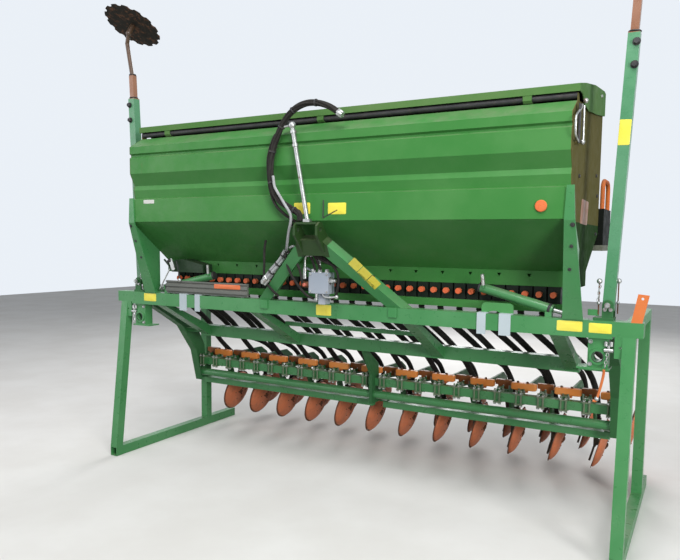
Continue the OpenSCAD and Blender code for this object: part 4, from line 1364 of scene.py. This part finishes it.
@dataclass
class HousingFittings:
    """Rings round the coupling sockets, shackles with chains, and the rod that hangs below the right one."""

    socket: Place = (1439.5, -633, 935)
    ring: Flat = ((22.6, 0), (23.0, 3), (25.0, 3), (25.5, 0))
    housing: tuple[Part, ...] = (
        Rod((1474, -632, 986), (1474, -632, 1008), 8, 14), Rod((1497, -632, 986), (1497, -632, 1008), 8, 14),
        Rod((1466, -634, 968), (1506, -634, 968), 9, 14),
        Rod((1485.5, -634, 968), (1485.5, -634, 990), 6, 10),
        Chain(((1484, -643, 958), (1480, -645, 925), (1474, -645, 889)), 14, 2.2),
        Bolt((1406, -625, 1002), 16, 9), Bolt((1406, -625, 898), 16, 9))
    hook: tuple[Part, ...] = (
        Line(((1471, -645, 880), (1471, -640, 854), (1448, -636, 745), (1440, -636, 728),
              (1428, -636, 732)), 6, 30, 1, 12, cut=True),
        Ball((1445, -636, 742), 11))

    def socket_ring(self, sketch: Sketch, side: int) -> None:
        """Adds the open ring round a socket: its (radius, depth) points carried round the axis.

        Args:
            sketch: where it goes.
            side: 1 for the right housing and -1 for the left one.
        """
        profile = metres(self.ring)[..., None, None]
        circle = round_points(round_angles(40), np.array(ACROSS), np.array(UP))
        sketch.grid(at_side(self.socket, side) + profile[:, 0] * circle[None] + profile[:, 1] * FORWARD, 3)

    def build(self) -> None:
        """Makes both sides and the right one's rod with its hook."""
        sketch = Sketch()
        for side in SIDES:
            self.socket_ring(sketch, side)
            sketch.draw(self.housing, side)
        sketch.draw(self.hook)
        sketch.build("housing_fittings", Body.FRAME,
                     [Finish.ZINC, Finish.ORANGE_PAINT, Finish.RUSTY, Finish.BLACK])


@dataclass
class HopperFittings:
    """Bolts on the hopper's ends, rear wall and uprights, and the lid's latch at the +X end."""

    upright_bolts: tuple[Bolt, ...] = tuple(
        Bolt((x, -798.2 + (1549 - z) * 150 / 429, z), 17, 5, (0.0, -0.944, -0.330), 1)
        for x, z in ((1336, 1528), (1329, 1436), (1319, 1333)))
    end_bolts: tuple[Bolt, ...] = tuple(
        Bolt((1321, y, z), 16, 6, ACROSS, 1)
        for y, z in ((-607, 1754), (-115, 1800), (-60, 1700), (-60, 1500)))
    rear_bolts: tuple[Bolt, ...] = tuple(
        Bolt((x, 31, 2020), 14, 6, BACK, 1) for x in range(-1180, 1181, 295))
    latch: tuple[Part, ...] = (
        Line(((1338, -684, 2058), (1338, -700, 2040), (1340, -800, 2004), (1340, -838, 1980),
              (1340, -836, 1912), (1340, -806, 1896), (1338, -748, 1890),
              (1336, -742, 1885)), 4.5, 60, cut=True, reference=ACROSS),
        Block((1333.5, -752, 1884), (1341.5, -722, 2052)),
        Rod((1346, -690, 2052), (1346, -684, 1898), 5.5, 10),
        Ball((1344, -640, 2082), 12), Ball((1344, -684, 1895), 12),
        Rod((1334, -640, 2082), (1344, -640, 2082), 6, 10),
        Bolt((1331, -110, 2206), 16, 6, ACROSS))

    def build(self) -> None:
        """Makes dark bolts on the sloping uprights, the end plates and the rear wall, and the latch."""
        sketch = Sketch()
        for side in SIDES:
            sketch.draw(self.upright_bolts + self.end_bolts, side)
        sketch.draw(self.rear_bolts)
        sketch.build("hopper_bolts", Body.FRAME, [Finish.ZINC, Finish.BLACK])
        sketch = Sketch()
        sketch.draw(self.latch)
        sketch.build("lid_latches", Body.FRAME, [Finish.ZINC, Finish.BLACK])


# Studio


@dataclass
class Lamp:
    """A round area lamp that faces a place, in metres and watts."""

    name: str
    place: Place
    aim: Place
    size: float
    power: float


def aimed(right: Array, up: Array, back: Array, place: Vector) -> Matrix:
    """The matrix of a lamp or camera, whose own axes are right, up and back.

    Args:
        right: its X axis.
        up: its Y axis.
        back: its Z axis, away from what it faces.
        place: where it stands.

    Returns:
        The matrix.
    """
    matrix = np.eye(4)
    matrix[:3] = np.column_stack([right, up, back, place])
    return Matrix(matrix.tolist())


@dataclass
class Studio:
    """Camera at the photograph's angle, soft daylight from above the front, and a pale floor."""

    place: Place = (1.8689, -3.7711, 1.4395)
    yaw: float = 28.764
    pitch: float = 5.025
    roll: float = 0.650
    focal: float = 34.793
    sensor: float = 36.0
    shift: tuple[float, float] = (-0.01302, 0.03008)
    sky_colour: Colour = (0.87, 0.92, 0.98)
    sky_light: float = 0.32
    sky_seen: float = 0.95
    floor_bounce: Colour = (0.13, 0.126, 0.118)
    floor_pale: tuple[Colour, Colour] = ((0.72, 0.70, 0.67), (0.78, 0.765, 0.74))
    floor_half: float = 14.0
    floor_z: float = -0.0015
    lamps: tuple[Lamp, ...] = (
        Lamp("key", (1.4, -3.8, 6.2), (0.0, 0.0, 1.0), 4.0, 325.0),
        Lamp("front", (6.6, -5.3, 2.5), (0.0, 0.0, 0.8), 2.4, 350.0),
        Lamp("fill", (-4.5, -4.0, 2.6), (-0.3, 0.0, 0.9), 4.0, 60.0),
        Lamp("back", (-1.5, 5.6, 4.2), (0.0, 0.3, 1.0), 4.0, 230.0))

    def camera(self) -> None:
        """Places the camera: yaw turns it to -X from +Y, pitch down, roll about its own axis."""
        yaw, pitch, roll = (math.radians(a) for a in (self.yaw, self.pitch, self.roll))
        ahead = np.array([-math.sin(yaw), math.cos(yaw), 0.0])
        right = np.array([math.cos(yaw), math.sin(yaw), 0.0])
        up = np.array(UP)
        forward = math.cos(pitch) * ahead - math.sin(pitch) * up
        upward = math.sin(pitch) * ahead + math.cos(pitch) * up
        x = math.cos(roll) * right + math.sin(roll) * upward
        y = -math.sin(roll) * right + math.cos(roll) * upward
        data = bpy.data.cameras.new("camera")
        data.sensor_width, data.lens = self.sensor, self.focal
        data.shift_x, data.shift_y = self.shift
        data.clip_start, data.clip_end = 0.05, 100.0
        camera = bpy.data.objects.new("camera", data)
        bpy.context.scene.collection.objects.link(camera)
        camera.matrix_world = aimed(x, y, -forward, self.place)
        bpy.context.scene.camera = camera

    def lights(self) -> None:
        """Makes a broad lamp high above the front, and others on the right, from the left and behind."""
        for spec in self.lamps:
            data = bpy.data.lights.new(spec.name, "AREA")
            data.shape, data.size, data.energy = "DISK", spec.size, spec.power
            lamp = bpy.data.objects.new(spec.name, data)
            bpy.context.scene.collection.objects.link(lamp)
            back = unit(np.asarray(spec.place) - np.asarray(spec.aim))
            right = unit(np.cross(UP, back))
            lamp.matrix_world = aimed(right, np.cross(back, right), back, spec.place)

    def sky(self) -> None:
        """Makes a pale world, which lights the drill less than it shows."""
        world = bpy.data.worlds.new("world")
        world.use_nodes = True
        tree = world.node_tree
        background = tree.nodes["Background"]
        background.inputs[0].default_value = (*self.sky_colour, 1.0)
        strength = tree.nodes.new("ShaderNodeMapRange")
        strength.inputs["To Min"].default_value = self.sky_light
        strength.inputs["To Max"].default_value = self.sky_seen
        tree.links.new(self.seen(tree), strength.inputs["Value"])
        tree.links.new(strength.outputs[0], background.inputs[1])
        bpy.context.scene.world = world

    def seen(self, tree: bpy.types.NodeTree) -> Socket:
        """1 for rays that show the background, straight, reflected or through glass: the largest of three.

        Args:
            tree: node tree of the floor's material or of the world.

        Returns:
            The mask socket.
        """
        rays = tree.nodes.new("ShaderNodeLightPath").outputs
        mask = rays["Is Camera Ray"]
        for name in ("Is Glossy Ray", "Is Transmission Ray"):
            larger = tree.nodes.new("ShaderNodeMath")
            larger.operation = "MAXIMUM"
            tree.links.new(mask, larger.inputs[0])
            tree.links.new(rays[name], larger.inputs[1])
            mask = larger.outputs[0]
        return mask

    def floor(self) -> None:
        """Makes a wide pale floor that sends little light back up."""
        material = Nodes("floor_finish")
        pale = material.mix(material.ramp(material.noise(1.5, 5.0), 0.3, 0.7), *self.floor_pale)
        material.colour(material.mix(self.seen(material.tree), self.floor_bounce, pale))
        material.set("Roughness", 0.9)
        half = self.floor_half
        corners = [(-half, -half), (half, -half), (half, half), (-half, half)]
        mesh = bpy.data.meshes.new("floor")
        mesh.from_pydata([(x, y, self.floor_z) for x, y in corners], [], [(0, 1, 2, 3)])
        mesh.materials.append(material.material)
        obj = bpy.data.objects.new("floor", mesh)
        bpy.context.scene.collection.objects.link(obj)

    def build(self) -> None:
        """Makes the camera, the lights, the sky and the floor."""
        self.camera()
        self.lights()
        self.sky()
        self.floor()
        bpy.context.scene.view_settings.view_transform = "Standard"


# Finishes of the CAD nodes


@dataclass
class CadFinishes:
    """Gives every carried-over CAD node its finish."""

    nodes: dict[str, bpy.types.Object]
    rules: tuple[tuple[Finish, str], ...] = (
        (Finish.DARK_GREEN, "side_arms marker_feet"),
        (Finish.COULTER_ARM, "coulter_arms_front coulter_arms_rear"),
        (Finish.HOPPER_GREEN, "hopper_front hopper_rear trough_front trough_rear"),
        (Finish.HOSE, "seed_tubes hoses"),
        (Finish.MARKER, "marker_left marker_right"),
        (Finish.DARK_STEEL, "marker_disc_left marker_disc_right"),
        (Finish.LID_GREEN, "lid"),
        (Finish.END_PAINTED_REFLECTION_AND_SHADE, "hopper_ends"),
        (Finish.TOWER_PAINTED_SHADE, "headstock"),
        (Finish.CLAMP_STEEL, "bar_clamps"),
        (Finish.ZINC, "hose_post"),
        (Finish.BLACK, "hinge_tube"),
        (Finish.METER, "metering_row"),
        (Finish.GEARBOX, "gearbox"),
        (Finish.PLATFORM, "platform"),
        (Finish.VALVE_GREY, "valve_block"),
        (Finish.RAIL, "deck_rail"),
        (Finish.ORANGE_PAINT, "lock_bar"),
        (Finish.HEAD, "coulter_heads"),
    )

    def build(self) -> None:
        """Assigns the materials: green unless a rule or the disc's name says otherwise."""
        chosen = {name: finish for finish, names in self.rules for name in names.split()}
        for name, obj in self.nodes.items():
            finish = chosen.get(name, Finish.DISC_STEEL if name.startswith("disc_") else Finish.GREEN)
            obj.data.materials.clear()
            obj.data.materials.append(finish.material())


def main() -> None:
    """Builds everything in order."""
    logging.basicConfig(level=logging.INFO, format="%(name)s: %(message)s")
    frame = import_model()
    Studio().build()
    CadFinishes(frame["nodes"]).build()
    for part in (SeedHoses(), HosePost(), LabelPlates(), MarkerFittings(), DiscHubs(), CoulterBarFasteners(),
                 ValveFittings(), HousingFittings(), HopperFittings()):
        LOG.info("building %s", type(part).__name__)
        part.build()


if __name__ == "__main__":
    main()
